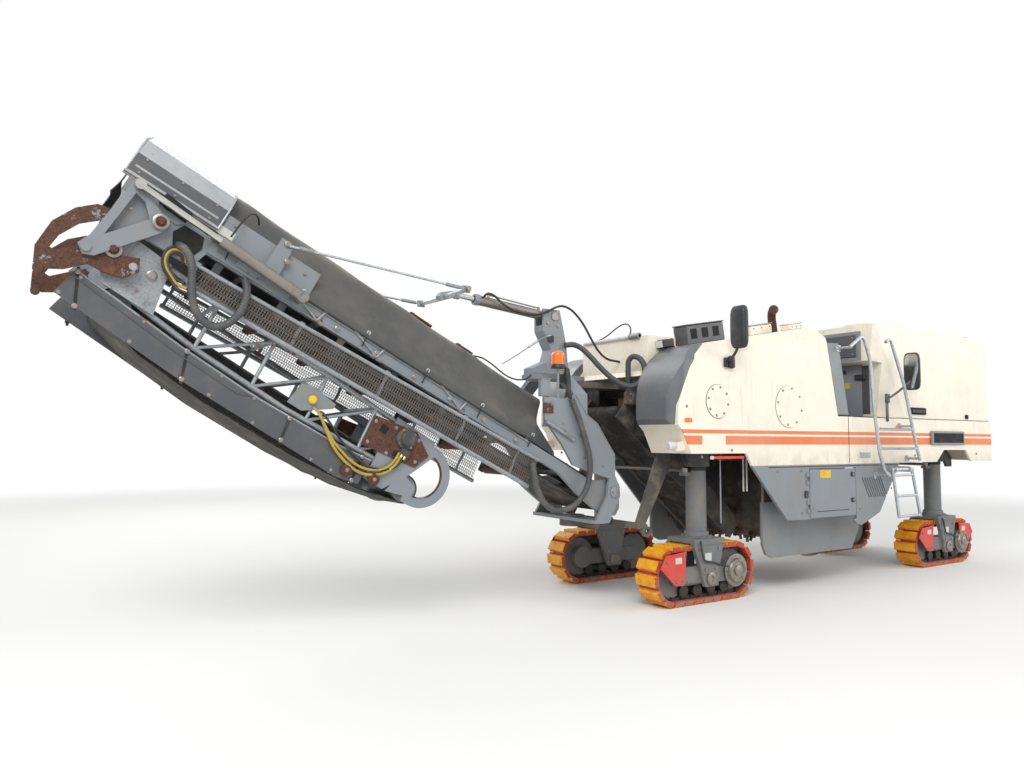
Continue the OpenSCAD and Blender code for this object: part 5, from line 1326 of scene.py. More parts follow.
@dataclass
class BoomSides:
    """Mesh guards, rails, idlers, struts, brackets and bolts along the main conveyor."""

    face: float = 0.4405
    guard_y: float = 0.468
    s0: float = 0.90
    s1: float = 4.00
    top: tuple[float, float] = (-0.118, -0.222)
    low: tuple[float, float] = (-0.365, -0.388)
    ridge: float = 0.535
    ridge_brackets: tuple[tuple[float, float], ...] = ((1.68, 1.86), (2.14, 2.37))

    def level(self, s: Array, pair: tuple[float, float]) -> Array:
        """Height of a guard rail at s, between its two ends."""
        return pair[0] + (pair[1] - pair[0]) * (np.asarray(s, float) - self.s0) / (self.s1 - self.s0)

    def mesh_guard(self) -> None:
        """Expanded metal between two tubes: thin slanting strands that cross."""
        form = Form(BOOM)
        strand = []
        pitch, lean = 0.021, 0.030
        for direction in (1, -1):
            s = np.arange(self.s0 + 0.02, self.s1 - 0.05, pitch)
            a = np.stack([s, np.full_like(s, self.guard_y + 0.002 * direction), self.level(s, self.top)],
                         axis=1)
            b = np.stack([s + lean * direction, a[:, 1], self.level(s, self.low)], axis=1)
            b[:, 0] = np.clip(b[:, 0], self.s0, self.s1)
            w = np.array([0.0019, 0, 0])
            d = np.array([0, 0.0013, 0])
            ring = np.stack([np.stack([p - w - d, p + w - d, p + w + d, p - w + d], axis=1) for p in (a, b)],
                            axis=1)
            strand += [loft(r) for r in ring]
        form.add(merged(strand), 0, True)
        for k in np.linspace(0.06, 0.94, 9):
            s = np.linspace(self.s0, self.s1, 2)
            n = self.level(s, self.top) * (1 - k) + self.level(s, self.low) * k
            form.add(tube(np.stack([s, [self.guard_y] * 2, n], axis=1), 0.0022, 4), 0, True)
        for pair, r in ((self.top, 0.016), (self.low, 0.019)):
            n = self.level([self.s0, self.s1], pair)
            form.add(tube([(self.s0 - 0.02, self.guard_y, n[0]), (self.s1 + 0.02, self.guard_y, n[1])], r,
                          14), 1, True)
        for s in (self.s0 + 0.2, 1.68, 2.45, 3.2, self.s1):
            t, b = float(self.level(s, self.top)), float(self.level(s, self.low))
            form.add(block((s - 0.012, self.guard_y - 0.012, b), (s + 0.012, self.guard_y - 0.004, t), 0.002),
                     1, True)
            form.add(block((s - 0.02, self.face - 0.002, t - 0.01), (s + 0.02, self.guard_y - 0.01, t + 0.03),
                           0.003), 1, True)
        form.piece("mesh_guards", "boom", (Finish.MESH, Finish.OLD_ZINC), "galvanised", 0.0, 40,
                   ["boom_guards"])

    def frame_parts(self) -> None:
        """Cover struts, tie-down rail, idler ends, flanges, stiffeners and bolts on the side beams."""
        form = Form(BOOM)
        for s in (1.76, 2.59, 3.12):
            form.add(tube([(s, self.face + 0.010, -0.10), (s + 0.24, self.face + 0.008, -0.005)], 0.009, 10),
                     0, True)
            form.add(tube([(s, self.face + 0.010, -0.10), (s - 0.03, self.face + 0.008, -0.005)], 0.009, 10),
                     0, True)
            form.add(slab([(s - 0.05, -0.115), (s + 0.05, -0.115), (s + 0.04, -0.075), (s - 0.04, -0.075)],
                          self.face, self.face + 0.008), 2, True)
            form.add(bolts([(s - 0.025, self.face + 0.008, -0.098), (s + 0.025, self.face + 0.008, -0.098)],
                           LEFT, 0.008), 1, True)
        form.add(block((1.02, self.face, -0.026), (3.25, self.face + 0.012, -0.014), 0.002), 0, True)
        form.add(block((1.02, self.face, -0.110), (3.25, self.face + 0.012, -0.100), 0.002), 4, True)
        for s in np.arange(1.16, 4.0, 0.36):
            form.add(turned([[0, 0], [0.020, 0], [0.020, 0.008], [0.012, 0.012], [0.012, 0.018], [0, 0.018]],
                            (s, self.face, -0.066), LEFT, 18), 1, True)
        for s, n in ((3.36, 0.15), (3.36, -0.06), (3.93, 0.17), (3.93, -0.05), (3.70, -0.07), (4.06, 0.02),
                     (4.06, -0.19), (4.52, -0.12), (4.40, -0.19), (4.12, -0.23)):
            form.add(bolts([(s, self.face + (0.012 if s < 4 else 0.0), n)], LEFT, 0.011), 1, True)
        form.add(slab([(4.06, -0.18), (4.20, -0.18), (4.24, -0.10), (4.20, -0.02), (4.06, -0.02),
                       (4.03, -0.10)], self.face, self.face + 0.005), 3, True)
        form.add(slab([(3.62, -0.075), (3.80, -0.075), (3.80, -0.012), (3.66, 0.02), (3.62, 0.0)],
                      self.face + 0.012, self.face + 0.02), 2, True)
        plate = [(4.451, 0.175), (4.267, 0.19), (4.105, 0.184), (4.105, 0.07), (4.252, -0.054),
                 (4.392, -0.033)]
        form.add(slab(plate, self.face + 0.0005, self.face + 0.012), 4, True)
        # Black slab in the plate's slot: painted shade of the opening.
        slot = [(4.335 + 0.045 * math.cos(a), 0.023 + 0.024 * math.sin(a))
                for a in np.linspace(0, TAU, 21)[:-1]]
        form.add(slab(slot, self.face + 0.012, self.face + 0.0135), 3, True)
        form.add(bolts([(4.307, self.face + 0.012, 0.151), (4.13, self.face + 0.012, 0.16),
                        (4.42, self.face + 0.012, 0.15)], LEFT, 0.010), 1, True)
        for s, n in ((3.577, 0.258), (3.517, 0.143)):
            form.add(turned(boss(0.022, 0.012, 0.014, 0.018), (s, self.face + 0.044, n), LEFT, 20), 1, True)
        form.add(block((3.90, self.face + 0.012, 0.06), (4.02, self.face + 0.014, 0.12), 0.001), 5, True)
        for s0, s1 in self.ridge_brackets:
            form.add(block((s0, -0.035, self.ridge - 0.02), (s1, 0.035, self.ridge), 0.004), 6)
            form.add(bolts([(s0 + 0.04, 0.0, self.ridge), (s1 - 0.04, 0.0, self.ridge)], UP, 0.012), 6)
        finishes = (Finish.OLD_ZINC, Finish.BOLT, Finish.FLAKING, Finish.BLACK, Finish.BOOM_GREY,
                    Finish.LABEL_WHITE, Finish.RUSTY)
        form.piece("conveyor_side_parts", "boom", finishes, "blue_grey", 0.0015)

    def idlers(self) -> None:
        """Return rollers under the boom, each on its axle between two hangers."""
        form = Form(BOOM)
        roll = [[0, 0], [0.012, 0], [0.036, 0.004], [0.040, 0.012], [0.040, 0.488], [0.036, 0.496],
                [0.012, 0.5], [0, 0.5]]
        for s in np.arange(0.7, 4.0, 0.5):
            form.add(turned([[r, (h - 0.25) * 1.35] for r, h in roll], (s + 0.18, 0, -0.235), LEFT, 20), 0)
            form.add(tube([(s + 0.18, -0.42, -0.235), (s + 0.18, 0.42, -0.235)], 0.011, 8), 1)
            form.add(block((s + 0.15, 0.405, -0.26), (s + 0.21, 0.417, -0.10), 0.003), 1, True)
        form.piece("return_rollers", "boom", (Finish.RUSTY, Finish.FRAME), "frame_grey")

    def belt_parts(self) -> None:
        """Cleats in chevrons on the belt's upper run, under the cover and at both ends."""
        form = Form(BOOM)
        cleat = []
        for s in np.arange(0.12, 4.38, 0.24):
            for side in (1, -1):
                a = np.array([[s, side * 0.01, 0.049], [s + 0.10, side * 0.27, 0.049]])
                cleat.append(tube(a, 0.013, 6))
        form.add(merged(cleat), 0)
        form.piece("belt_cleats", "boom", (Finish.BELT,), "black_rubber", 0.0, 40)

    def build(self) -> None:
        """Makes every group."""
        self.mesh_guard()
        self.frame_parts()
        self.idlers()
        self.belt_parts()


@dataclass
class HeadCover:
    """Bolts, folded edges, dark side strips, gland and rubber flap on the sheet-metal head cover."""

    s0: float = 4.01
    s1: float = 4.68

    def build(self) -> None:
        """Makes the parts on the head cover."""
        form = Form(BOOM)
        ridge = np.array([(-0.4665, 0.24), (-0.4005, 0.36), (-0.06, 0.526), (0.06, 0.526), (0.4005, 0.36),
                          (0.4665, 0.24)])
        for s in (self.s0 + 0.006, self.s1 - 0.006):
            pts = [(s, y, n + 0.002) for y, n in [(-0.468, 0.082), *ridge.tolist(), (0.468, 0.082)]]
            form.add(tube(pts, 0.007, 6), 0)
        for side in (1, -1):
            form.add(tube([(self.s0, side * 0.468, 0.079), (self.s1, side * 0.468, 0.079)], 0.008, 8), 0)
            form.add(bolts([(s, side * 0.466, n) for s in (4.10, 4.35, 4.60) for n in (0.11, 0.215)],
                           (0, side, 0), 0.009), 1)
            form.add(block((4.05, side * 0.466, 0.135), (4.64, side * 0.470, 0.150), 0.001), 0)
            form.add(slab([(self.s0 + 0.01, 0.095), (self.s1 - 0.01, 0.095), (self.s1 - 0.01, 0.228),
                           (self.s0 + 0.01, 0.228)], side * 0.4664, side * 0.4684), 3)
            form.add(slab([(4.14, 0.05), (4.40, 0.05), (4.40, 0.12), (4.18, 0.12)], side * 0.442,
                          side * 0.447), 3)
            form.add(tube([(4.02, side * 0.455, 0.066), (4.68, side * 0.455, 0.066)], 0.010, 8), 1)
        form.add(turned([[0, -0.10], [0.045, -0.10], [0.045, 0.10], [0, 0.10]], (4.30, 0.455, 0.045),
                        (0.9, 0, 0.1), 16), 2)
        form.add(block((4.06, -0.02, 0.5265), (4.64, 0.02, 0.529), 0.001), 2)
        flap = np.linspace(-0.44, 0.44, 23)
        n0, n1 = 0.10 + 0 * flap, -0.10 - 0.015 * np.cos(flap * 9)
        grid = np.stack([np.stack([4.655 + 0.02 * k + 0.012 * np.sin(9 * flap + 2 * k), flap,
                                   n0 * (1 - k) + n1 * k], axis=1) for k in np.linspace(0, 1, 12)])
        hanging = Form(BOOM).add(sheet_grid(grid))
        rubber = hanging.piece("head_rubber_flap", "boom", (Finish.CURTAIN,), "black_rubber", 0.0, 60)
        thicken(rubber, 0.006)
        form.piece("head_cover_parts", "boom", (Finish.SHEET, Finish.BOLT, Finish.BLACK, Finish.DARK_GREY),
                   "galvanised")


# ---------------------------------------------------------------- slewing head


@dataclass
class SlewingHead:
    """Beacon, control box, fittings, slots, rusty tabs and bolts round the boom's foot and the mast."""

    side: float = 0.490
    mast_side: float = 0.075
    hoist: tuple[float, float, float, float] = (1.23, 2.69, 2.27, 2.80)

    def beacon(self) -> None:
        """Amber dome with a dark foot and a ribbed lens, in place of the plain one."""
        lo, hi = (np.array(c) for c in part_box("beacon"))
        mid = (lo + hi) / 2 - [FRAME_X, 0, 0]
        r, z0, z1 = (hi[0] - lo[0]) / 2, lo[2], hi[2]
        form = Form()
        foot = boss(r, 0.028, r - 0.006, 0.034)
        form.add(turned(foot, (mid[0], mid[1], z0), UP, 32), 1)
        ribs = [[r - 0.008 + 0.0015 * (i % 2), 0.034 + 0.006 * i] for i in range(14)]
        dome = [[0, 0.033], *ribs] + [[(r - 0.008) * math.cos(a), 0.118 + (z1 - z0 - 0.118) * math.sin(a)]
                                      for a in np.linspace(0.1, TAU / 4, 7)]
        form.add(turned(dome, (mid[0], mid[1], z0), UP, 32), 0)
        form.piece("beacon_dome", "slewing_head", (Finish.AMBER, Finish.PLASTIC), "orange_lens", 0.0, 50,
                   ["beacon"])

    def plates(self) -> None:
        """What is bolted or welded to the side plates and the arch."""
        form = Form()
        form.add(block((1.58, 0.452, 1.895), (1.685, 0.50, 2.05), 0.006), 0)
        form.add(block((1.575, 0.448, 2.046), (1.69, 0.504, 2.056), 0.003), 0)
        form.add(bolts([(1.60, 0.5, 1.92), (1.665, 0.5, 1.92), (1.60, 0.5, 2.03), (1.665, 0.5, 2.03)], LEFT,
                       0.006), 2)
        form.add(block((1.32, 0.33, 2.035), (1.40, 0.445, 2.11), 0.006), 3)
        for k in range(4):
            form.add(turned([[0, 0], [0.013, 0], [0.013, 0.02], [0.009, 0.024], [0.009, 0.04], [0, 0.04]],
                            (1.335 + 0.018 * k, 0.345 + 0.028 * k, 2.105), (0.1, 0, 1), 12), 4)
        for s, n in ((1.05, 0.33), (1.00, 0.345)):
            x = BOOM.row([[s, 0, n]])[0][0] - FRAME_X
            form.add(block((x - 0.03, self.side, 1.75), (x + 0.03, self.side + 0.012, 1.84)), 1, True)
        tube_path = [(1.63, 0.505, 1.675), (1.52, 0.505, 1.62), (1.33, 0.505, 1.515)]
        form.add(tube(tube_path, 0.016, 12), 5, True)
        form.add(bolts([(1.32, self.side, 1.52), (1.25, self.side, 1.56), (1.28, self.side, 1.70)], LEFT,
                       0.013), 2, True)
        for x, z in ((1.41, 1.60), (1.43, 1.66), (1.20, 1.36), (0.98, 1.28), (1.55, 1.80), (1.36, 1.83)):
            form.add(bolts([(x, self.side, z)], LEFT, 0.010), 2, True)
        form.add(turned([[0, 0], [0.050, 0], [0.050, 0.014], [0.040, 0.02], [0.0, 0.02]],
                        (0.85, self.side, 1.04), LEFT, 28), 5, True)
        form.add(bolts([(0.82, self.side + 0.02, 1.04), (0.88, self.side + 0.02, 1.04)], LEFT, 0.009), 2,
                 True)
        weld = [(0.852, 0.491, 1.39), (1.053, 0.491, 1.668), (1.158, 0.491, 1.735), (1.30, 0.491, 1.918)]
        form.add(tube(weld, 0.006, 6), 0, True)
        form.add(tube([(0.99, 0.30, 1.72), (0.88, 0.30, 1.60), (0.80, 0.30, 1.48)], 0.010, 10), 5, True)
        form.add(tube([(0.865, 0.30, 1.58), (0.775, 0.30, 1.44)], 0.017, 10), 1, True)
        finishes = (Finish.BLUE_GREY, Finish.RUSTY, Finish.BOLT, Finish.PLASTIC, Finish.BRASS,
                    Finish.OLD_ZINC)
        form.piece("slewing_head_parts", "slewing_head", finishes, "blue_grey", 0.0015)

    def mast(self) -> None:
        """Bolts, keeper plates and stiffeners on the mast, and the limit rope down to the boom."""
        form = Form()
        y = self.mast_side
        form.add(turned([[0, 0], [0.040, 0], [0.040, 0.012], [0.0, 0.012]], (1.23, y, 2.69), LEFT, 20), 1,
                 True)
        form.add(bolts([(1.20, y, 2.735), (1.30, y, 2.73), (1.31, y, 2.62), (1.19, y, 2.60)], LEFT, 0.014), 1,
                 True)
        form.add(block((1.12, -0.09, 2.13), (1.45, 0.09, 2.152), 0.004), 0)
        form.add(bolts([(x, s * 0.10, 2.13) for x in (1.10, 1.24, 1.38) for s in (1, -1)], UP, 0.014), 1)
        form.add(slab([(1.14, 2.14), (1.44, 2.14), (1.40, 2.17), (1.25, 2.23), (1.15, 2.42)], y - 0.02,
                      y + 0.006), 0, True)
        form.add(block((1.255, y, 2.44), (1.315, y + 0.03, 2.50), 0.004), 2)
        rope = [(1.30, 0.10, 2.50), (1.40, 0.098, 2.46), (1.52, 0.09, 2.385), (1.66, 0.07, 2.29),
                (1.80, 0.05, 2.205)]
        form.add(tube(smooth_path(rope, 24), 0.005, 6), 3)
        form.add(tube([(1.44, 0.096, 2.437), (1.54, 0.088, 2.372)], 0.011, 10), 4)
        form.add(tube([(1.29, 0.10, 2.50), (1.34, 0.10, 2.487)], 0.009, 8), 4)
        finishes = (Finish.BLUE_GREY, Finish.BOLT, Finish.PLASTIC, Finish.OLD_ZINC, Finish.ZINC)
        form.piece("mast_parts", "slewing_head", finishes, "blue_grey", 0.0015)

    def hoist_parts(self) -> None:
        """The hoist cylinder's gland and ports, and the yoke's turnbuckles, clamps and eyes."""
        x0, z0, x1, z1 = self.hoist
        d = unit(np.array([x1 - x0, 0.0, z1 - z0]))
        at = lambda t, y=0.0, up=0.0: np.array([x0, y, z0 + up]) + t * d
        barrel = Form()
        barrel.add(turned([[0.046, 0], [0.052, 0.004], [0.052, 0.05], [0.046, 0.055], [0.034, 0.055],
                           [0.034, 0.0]], at(0.80), d, 28), 0)
        for t in (0.14, 0.70):
            barrel.add(turned(disc(0.014, 0.03), at(t, 0.0, 0.042), (0, 0.3, 1), 12), 1)
        barrel.add(tube([at(0.70, 0.012, 0.068), at(0.60, 0.03, 0.06), at(0.20, 0.03, 0.055),
                         at(0.14, 0.01, 0.066)], 0.008, 8), 2)
        barrel.piece("hoist_cylinder_parts", "hoist_cylinder_barrel",
                     (Finish.BLUE_GREY, Finish.BRASS, Finish.OLD_ZINC), "blue_grey")
        _, hi = (np.array(c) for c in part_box("hoist_stays"))
        stays = Form()
        end = hi[0] - FRAME_X
        yoke_x, yoke_z = 2.39, 2.766
        anchor = BOOM.row([[3.577, 0.50, 0.24]])[0] - [FRAME_X, 0, 0]
        for side in (1, -1):
            yoke = np.array([yoke_x, side * 0.42, yoke_z])
            far = np.array([min(end, anchor[0]) - 0.02, side * 0.50, anchor[2]])
            way = unit(far - yoke)
            for a, b in ((0.06, 0.20), (float(np.linalg.norm(far - yoke)) - 0.16,
                                        float(np.linalg.norm(far - yoke)) - 0.05)):
                stays.add(tube([yoke + way * a, yoke + way * b], 0.016, 10), 0)
            stays.add(tube([yoke - [0, side * 0.02, 0], yoke + [0, side * 0.045, 0]], 0.022, 14), 1)
            stays.add(block(yoke + [-0.03, -0.012, -0.03], yoke + [0.045, 0.012, 0.03], 0.005), 0)
        stays.add(slab([(2.26, 2.775), (2.43, 2.735), (2.45, 2.765), (2.43, 2.80), (2.28, 2.83)], -0.03,
                       0.03), 0)
        stays.piece("stay_fittings", "hoist_cylinder_rod", (Finish.OLD_ZINC, Finish.BOLT), "galvanised",
                    0.001)

    def build(self) -> None:
        """Makes every group."""
        self.beacon()
        self.plates()
        self.mast()
        self.hoist_parts()


# ---------------------------------------------------------------- folding section


@dataclass
class FoldingSection:
    """Plates, straps, motor, rollers and bolts on the folded end of the conveyor, in its own coordinates."""

    side: float = 0.394
    hinge_y: float = 0.4705
    ring: tuple[float, float, float] = (-2.69, -0.12, 0.255)
    straps: tuple = (((0.085, -0.217), (-0.028, -0.43)), ((-0.72, -0.274), (-0.80, -0.47)),
                     ((-1.554, -0.285), (-1.586, -0.47)), ((-2.18, -0.24), (-2.20, -0.45)))

    def plates(self) -> None:
        """Hinge gussets, the hoses' bracket, the rusty motor plate with its window in painted shade and the
        motor.
        """
        y = self.side
        form = Form(FOLD)
        form.add(slab([(-0.204, 0.096), (-0.274, 0.138), (-0.356, 0.031), (-0.33, -0.115), (-0.306, -0.133),
                       (-0.176, -0.15)], y - 0.024, y - 0.006), 0, True)
        form.add(turned([[0, 0], [0.036, 0], [0.036, 0.01], [0.026, 0.014], [0.026, 0.026], [0, 0.028]],
                        (-0.271, y - 0.006, 0.013), LEFT, 24), 3, True)
        form.add(slab([(-1.48, -0.2), (-1.50, -0.02), (-1.62, 0.0), (-1.80, -0.02), (-1.80, -0.06),
                       (-1.60, -0.2)], y - 0.030, y - 0.016), 0)
        form.add(turned(boss(0.032, 0.02, 0.022, 0.03), (-1.629, y - 0.016, -0.088), LEFT, 20), 2)
        plate = [(-2.10, 0.077), (-2.475, 0.150), (-2.66, 0.039), (-2.60, -0.10), (-2.12, -0.17)]
        form.add(slab(plate, y, y + 0.010), 1, True)
        # Black squares on the rusty plate: painted shade of its window.
        for s, n, w in ((-2.219, 0.022, 0.032), (-2.40, -0.09, 0.024)):
            form.add(block((s - w, y + 0.010, n - w), (s + w, y + 0.0115, n + w), 0.0005), 4, True)
        form.add(turned([[0, 0], [0.085, 0], [0.085, 0.018], [0.060, 0.022], [0.060, 0.055], [0.050, 0.062],
                         [0, 0.062]], (-2.419, y + 0.010, 0.055), LEFT, 32), 5, True)
        form.add(bolts(circle(-2.419, y + 0.028, 0.055, 0.073, 4, 0.6), LEFT, 0.009), 3, True)
        form.add(block((-2.50, y + 0.012, -0.075), (-2.42, y + 0.042, -0.02), 0.004), 5)
        for s in (-2.475, -2.445):
            form.add(turned(boss(0.013, 0.025, 0.009, 0.03), (s, y + 0.028, -0.072), (0, 0, -1), 12), 6)
        for s, n in ((-2.13, 0.04), (-2.15, -0.13), (-2.30, 0.085), (-2.33, -0.125), (-2.52, 0.10),
                     (-2.58, -0.06)):
            form.add(bolts([(s, y + 0.010, n)], LEFT, 0.011), 3, True)
        form.piece("folding_section_plates", "folding_section",
                   (Finish.BOOM_GREY, Finish.RUSTY, Finish.LABEL_YELLOW, Finish.BOLT, Finish.BLACK,
                    Finish.FRAME, Finish.BRASS), "blue_grey", 0.0015)

    def cover(self) -> None:
        """Rubber straps with buttons, rivets, a pale upper edge and a rusty lower edge on the long covers."""
        y = self.side
        form = Form(FOLD)
        crease = [(0.095, -0.262), (-0.691, -0.330), (-1.15, -0.345), (-1.259, -0.300)]
        form.add(tube(np.array([(s, y + 0.001, n) for s, n in crease]), 0.006, 6), 4, True)
        for (s0, n0), (s1, n1) in self.straps:
            d = unit(np.array([s1 - s0, n1 - n0]))
            w = np.array([-d[1], d[0]]) * 0.009
            a, b = np.array([s0, n0]) - 0.02 * d, np.array([s1, n1]) + 0.02 * d
            form.add(slab([a + w, b + w, b - w, a - w], y, y + 0.006), 0, True)
            for p in (a + d * 0.03, b - d * 0.03):
                form.add(turned(boss(0.018, 0.003, 0.011, 0.008), (p[0], y + 0.006, p[1]), LEFT, 16), 1, True)
        top = [(0.10, -0.217), (-0.691, -0.274), (-1.259, -0.292), (-2.0, -0.262), (-2.26, -0.232)]
        low = [(0.115, -0.412), (-0.752, -0.468), (-2.072, -0.478), (-2.26, -0.44)]
        for line, up, finish, r in ((top, -0.005, 2, 0.008), (low, 0.002, 3, 0.003)):
            path = np.array([(s, y - 0.004, n + up) for s, n in line])
            form.add(tube(path, r, 8), finish, True)
        for s, n in ((0.095, -0.40), (0.05, -0.25), (-0.40, -0.27), (-0.40, -0.43), (-1.0, -0.30),
                     (-1.0, -0.455), (-1.35, -0.46), (-1.85, -0.465), (-2.02, -0.455), (-1.266, -0.309)):
            form.add(bolts([(s, y, n)], LEFT, 0.010), 1, True)
        finishes = (Finish.STRAP, Finish.BOLT, Finish.OLD_ZINC, Finish.RUSTY, Finish.DARK_GREY)
        form.piece("folding_cover_straps", "folding_section", finishes, "black_rubber")

    def ring_and_rollers(self) -> None:
        """Rusty inner rim of the end ring, and the guide rollers on their brackets."""
        s, n, r = self.ring
        y = self.side
        form = Form(FOLD)
        a = np.radians(np.linspace(104, 256, 40))
        inner = np.stack([s + (r - 0.073) * np.cos(a), np.full(40, y - 0.020), n + (r - 0.073) * np.sin(a)],
                         axis=1)
        form.add(tube(inner, 0.010, 8), 0, True)
        outer = np.stack([s + (r - 0.004) * np.cos(a), np.full(40, y - 0.006), n + (r - 0.004) * np.sin(a)],
                         axis=1)
        form.add(tube(outer, 0.006, 8), 1, True)
        for sx, nx, rr in ((-2.116, -0.40, 0.042), (-2.344, -0.35, 0.046)):
            form.add(turned([[0, -0.02], [rr * 0.8, -0.02], [rr, -0.012], [rr, 0.012], [rr * 0.8, 0.02],
                             [0, 0.02]], (sx, y + 0.020, nx), LEFT, 24), 0, True)
            form.add(bolts([(sx, y + 0.040, nx)], LEFT, 0.012), 2, True)
            form.add(slab([(sx - 0.025, nx - 0.02), (sx + 0.025, nx - 0.02), (sx + 0.02, nx + 0.10),
                           (sx - 0.02, nx + 0.10)], y, y + 0.006), 3, True)
        finishes = (Finish.RUSTY, Finish.FLAKING, Finish.BOLT, Finish.BOOM_GREY)
        form.piece("folding_end_ring", "folding_section", finishes, "rusty", 0.0)

    def levers(self) -> None:
        """Heads of the lever's pin and of the fold pin, on their washers."""
        for body, joint in (("levers", "lever_swing"), ("folding_section", "conveyor_fold")):
            origin = joint_origin(joint)
            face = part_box("fold_levers")[1][1] if body == "levers" else self.hinge_y
            form = Form()
            at = (origin[0] - FRAME_X, face, origin[2])
            form.add(turned([[0, 0], [0.052, 0], [0.052, 0.008], [0.040, 0.012], [0.0, 0.012]], at, LEFT, 28),
                     0, True)
            form.add(bolts([(at[0], face + 0.012, at[2])], LEFT, 0.026), 1, True)
            form.piece(f"{joint}_pin_head", body, (Finish.BOLT, Finish.RUSTY), "bare_steel")

    def build(self) -> None:
        """Makes every group."""
        self.plates()
        self.cover()
        self.ring_and_rollers()
        self.levers()


# ---------------------------------------------------------------- body


@dataclass
class FrontWall:
    """What closes the front body: its roller bar, rubber curtain, hoses' box and corner lamps."""

    x: float = 0.43

    def build(self) -> None:
        """Makes the pieces of the front wall."""
        form = Form()
        bar = [(self.x + 0.012, y, 2.535) for y in np.linspace(-0.46, 0.40, 9)]
        form.add(tube(bar, 0.018, 12), 0)
        form.add(tube([(self.x + 0.012, 0.26, 2.535), (self.x + 0.012, 0.40, 2.535)], 0.030, 14), 1)
        form.add(block((0.42, 0.29, 1.86), (0.56, 0.43, 1.985), 0.008), 2)
        form.add(bolts([(0.56, 0.32, 1.89), (0.56, 0.40, 1.89), (0.56, 0.32, 1.96), (0.56, 0.40, 1.96)],
                       AHEAD, 0.009), 1)
        form.add(turned(boss(0.040, 0.03, 0.030, 0.04), (0.50, 0.315, 1.98), UP, 20), 2)
        form.add(slab([(0.44, 1.52), (0.56, 1.50), (0.60, 1.44), (0.56, 1.42), (0.46, 1.43)], 0.98, 1.00), 3,
                 True)
        form.add(turned([[0, 0], [0.034, 0], [0.038, 0.008], [0.038, 0.07], [0.030, 0.08], [0, 0.08]],
                        (0.575, 0.99, 1.47), AHEAD, 24), 4, True)
        form.add(turned([[0, 0], [0.028, 0], [0.024, 0.004], [0, 0.005]], (0.656, 0.99, 1.47), AHEAD, 20), 5,
                 True)
        finishes = (Finish.LABEL_WHITE, Finish.BOLT, Finish.FRAME, Finish.CREAM, Finish.LABEL_WHITE,
                    Finish.LAMP_GLASS)
        form.piece("front_wall_parts", "chassis", finishes, "dark_grey", 0.0015)
        y = np.linspace(-0.62, 0.62, 60)
        z = np.linspace(2.13, 1.56, 24)
        wave = 0.014 * np.sin(y[None, :] * 16 + 2 * np.sin(z[:, None] * 5)) * np.linspace(0.3, 1, 24)[:, None]
        wave += 0.006 * np.sin(y[None, :] * 41)
        depth = 0.43 + wave
        grid = np.stack([depth, np.broadcast_to(y, depth.shape),
                         np.broadcast_to(z[:, None], depth.shape) - 0.02 * np.abs(y[None, :])], axis=2)
        left = Form().add(sheet_grid(grid[:, :20]))
        left.add(sheet_grid(grid[:, 40:]))
        curtain = left.piece("front_rubber_curtain", "chassis", (Finish.CURTAIN,), "black_rubber", 0.0, 60)
        thicken(curtain, 0.006, 0.0)


@dataclass
class BodySides:
    """Cover plates' bolts, markers, latches, handles, seams and the hood's step box on both sides."""

    face: float = BODY_FACE
    covers: tuple = ((-0.95, 1.86, 0.185), (0.08, 1.88, 0.132))

    def build(self) -> None:
        """Makes the pieces of both sides."""
        y = self.face
        form = Form()
        for x, z, r in self.covers:
            form.add(bolts(circle(x, y + 0.008, z, r, 8, 0.2), LEFT, 0.009), 0, True)
            form.add(turned([[r + 0.019, 0], [r + 0.027, 0], [r + 0.027, 0.003], [r + 0.019, 0.003]],
                            (x, y, z), LEFT, 48, True), 1, True)
        for x, z in ((0.469, 1.700), (-2.869, 1.682)):
            form.add(block((x - 0.045, y, z - 0.018), (x + 0.045, y + 0.012, z + 0.018), 0.004), 2, True)
        form.add(block((-3.44, y, 1.83), (-3.09, y + 0.022, 1.91), 0.008), 3, True)
        form.add(block((-3.40, y + 0.022, 1.85), (-3.13, y + 0.028, 1.89), 0.003), 4, True)
        form.add(block((-4.41, y, 1.80), (-4.355, y + 0.018, 1.852), 0.005), 3, True)
        form.add(block((-4.285, y, 1.479), (-3.54, y + 0.026, 1.644), 0.008), 5, True)
        form.add(block((-4.25, y + 0.026, 1.505), (-3.575, y + 0.028, 1.62), 0.0008), 3, True)
        form.add(block((-0.294, y - 0.03, 1.348), (0.12, y - 0.012, 1.376), 0.006), 6, True)
        form.add(block((0.12, y - 0.03, 1.345), (0.167, y - 0.012, 1.378), 0.006), 7, True)
        form.add(tube([(-2.02, y + 0.001, 1.782), (-4.93, y + 0.001, 1.782)], 0.0035, 6), 3, True)
        form.add(tube([(-1.93, y + 0.001, 1.795), (-1.93, y + 0.001, 1.29)], 0.003, 6), 3, True)
        for x, z in ((0.483, 1.825), (0.30, 1.37), (-0.1, 1.43), (-2.2, 1.36), (-3.2, 1.36), (-4.6, 1.37)):
            form.add(bolts([(x, y, z)], LEFT, 0.010), 0, True)
        form.add(slab([(-1.59, 2.545), (-1.78, 2.555), (-1.93, 1.80), (-1.75, 1.80)], y, y + 0.004), 8, True)
        form.add(slab([(-2.16, 1.34), (-2.12, 1.34), (-2.12, 1.40), (-2.16, 1.40)], y, y + 0.10), 9, True)
        finishes = (Finish.BOLT, Finish.PLASTIC, Finish.AMBER, Finish.BLACK, Finish.PLASTIC, Finish.BLUE_GREY,
                    Finish.RED, Finish.LABEL_WHITE, Finish.BLUE_GREY, Finish.ZINC)
        form.piece("body_side_parts", "chassis", finishes, "dark_grey", 0.001)


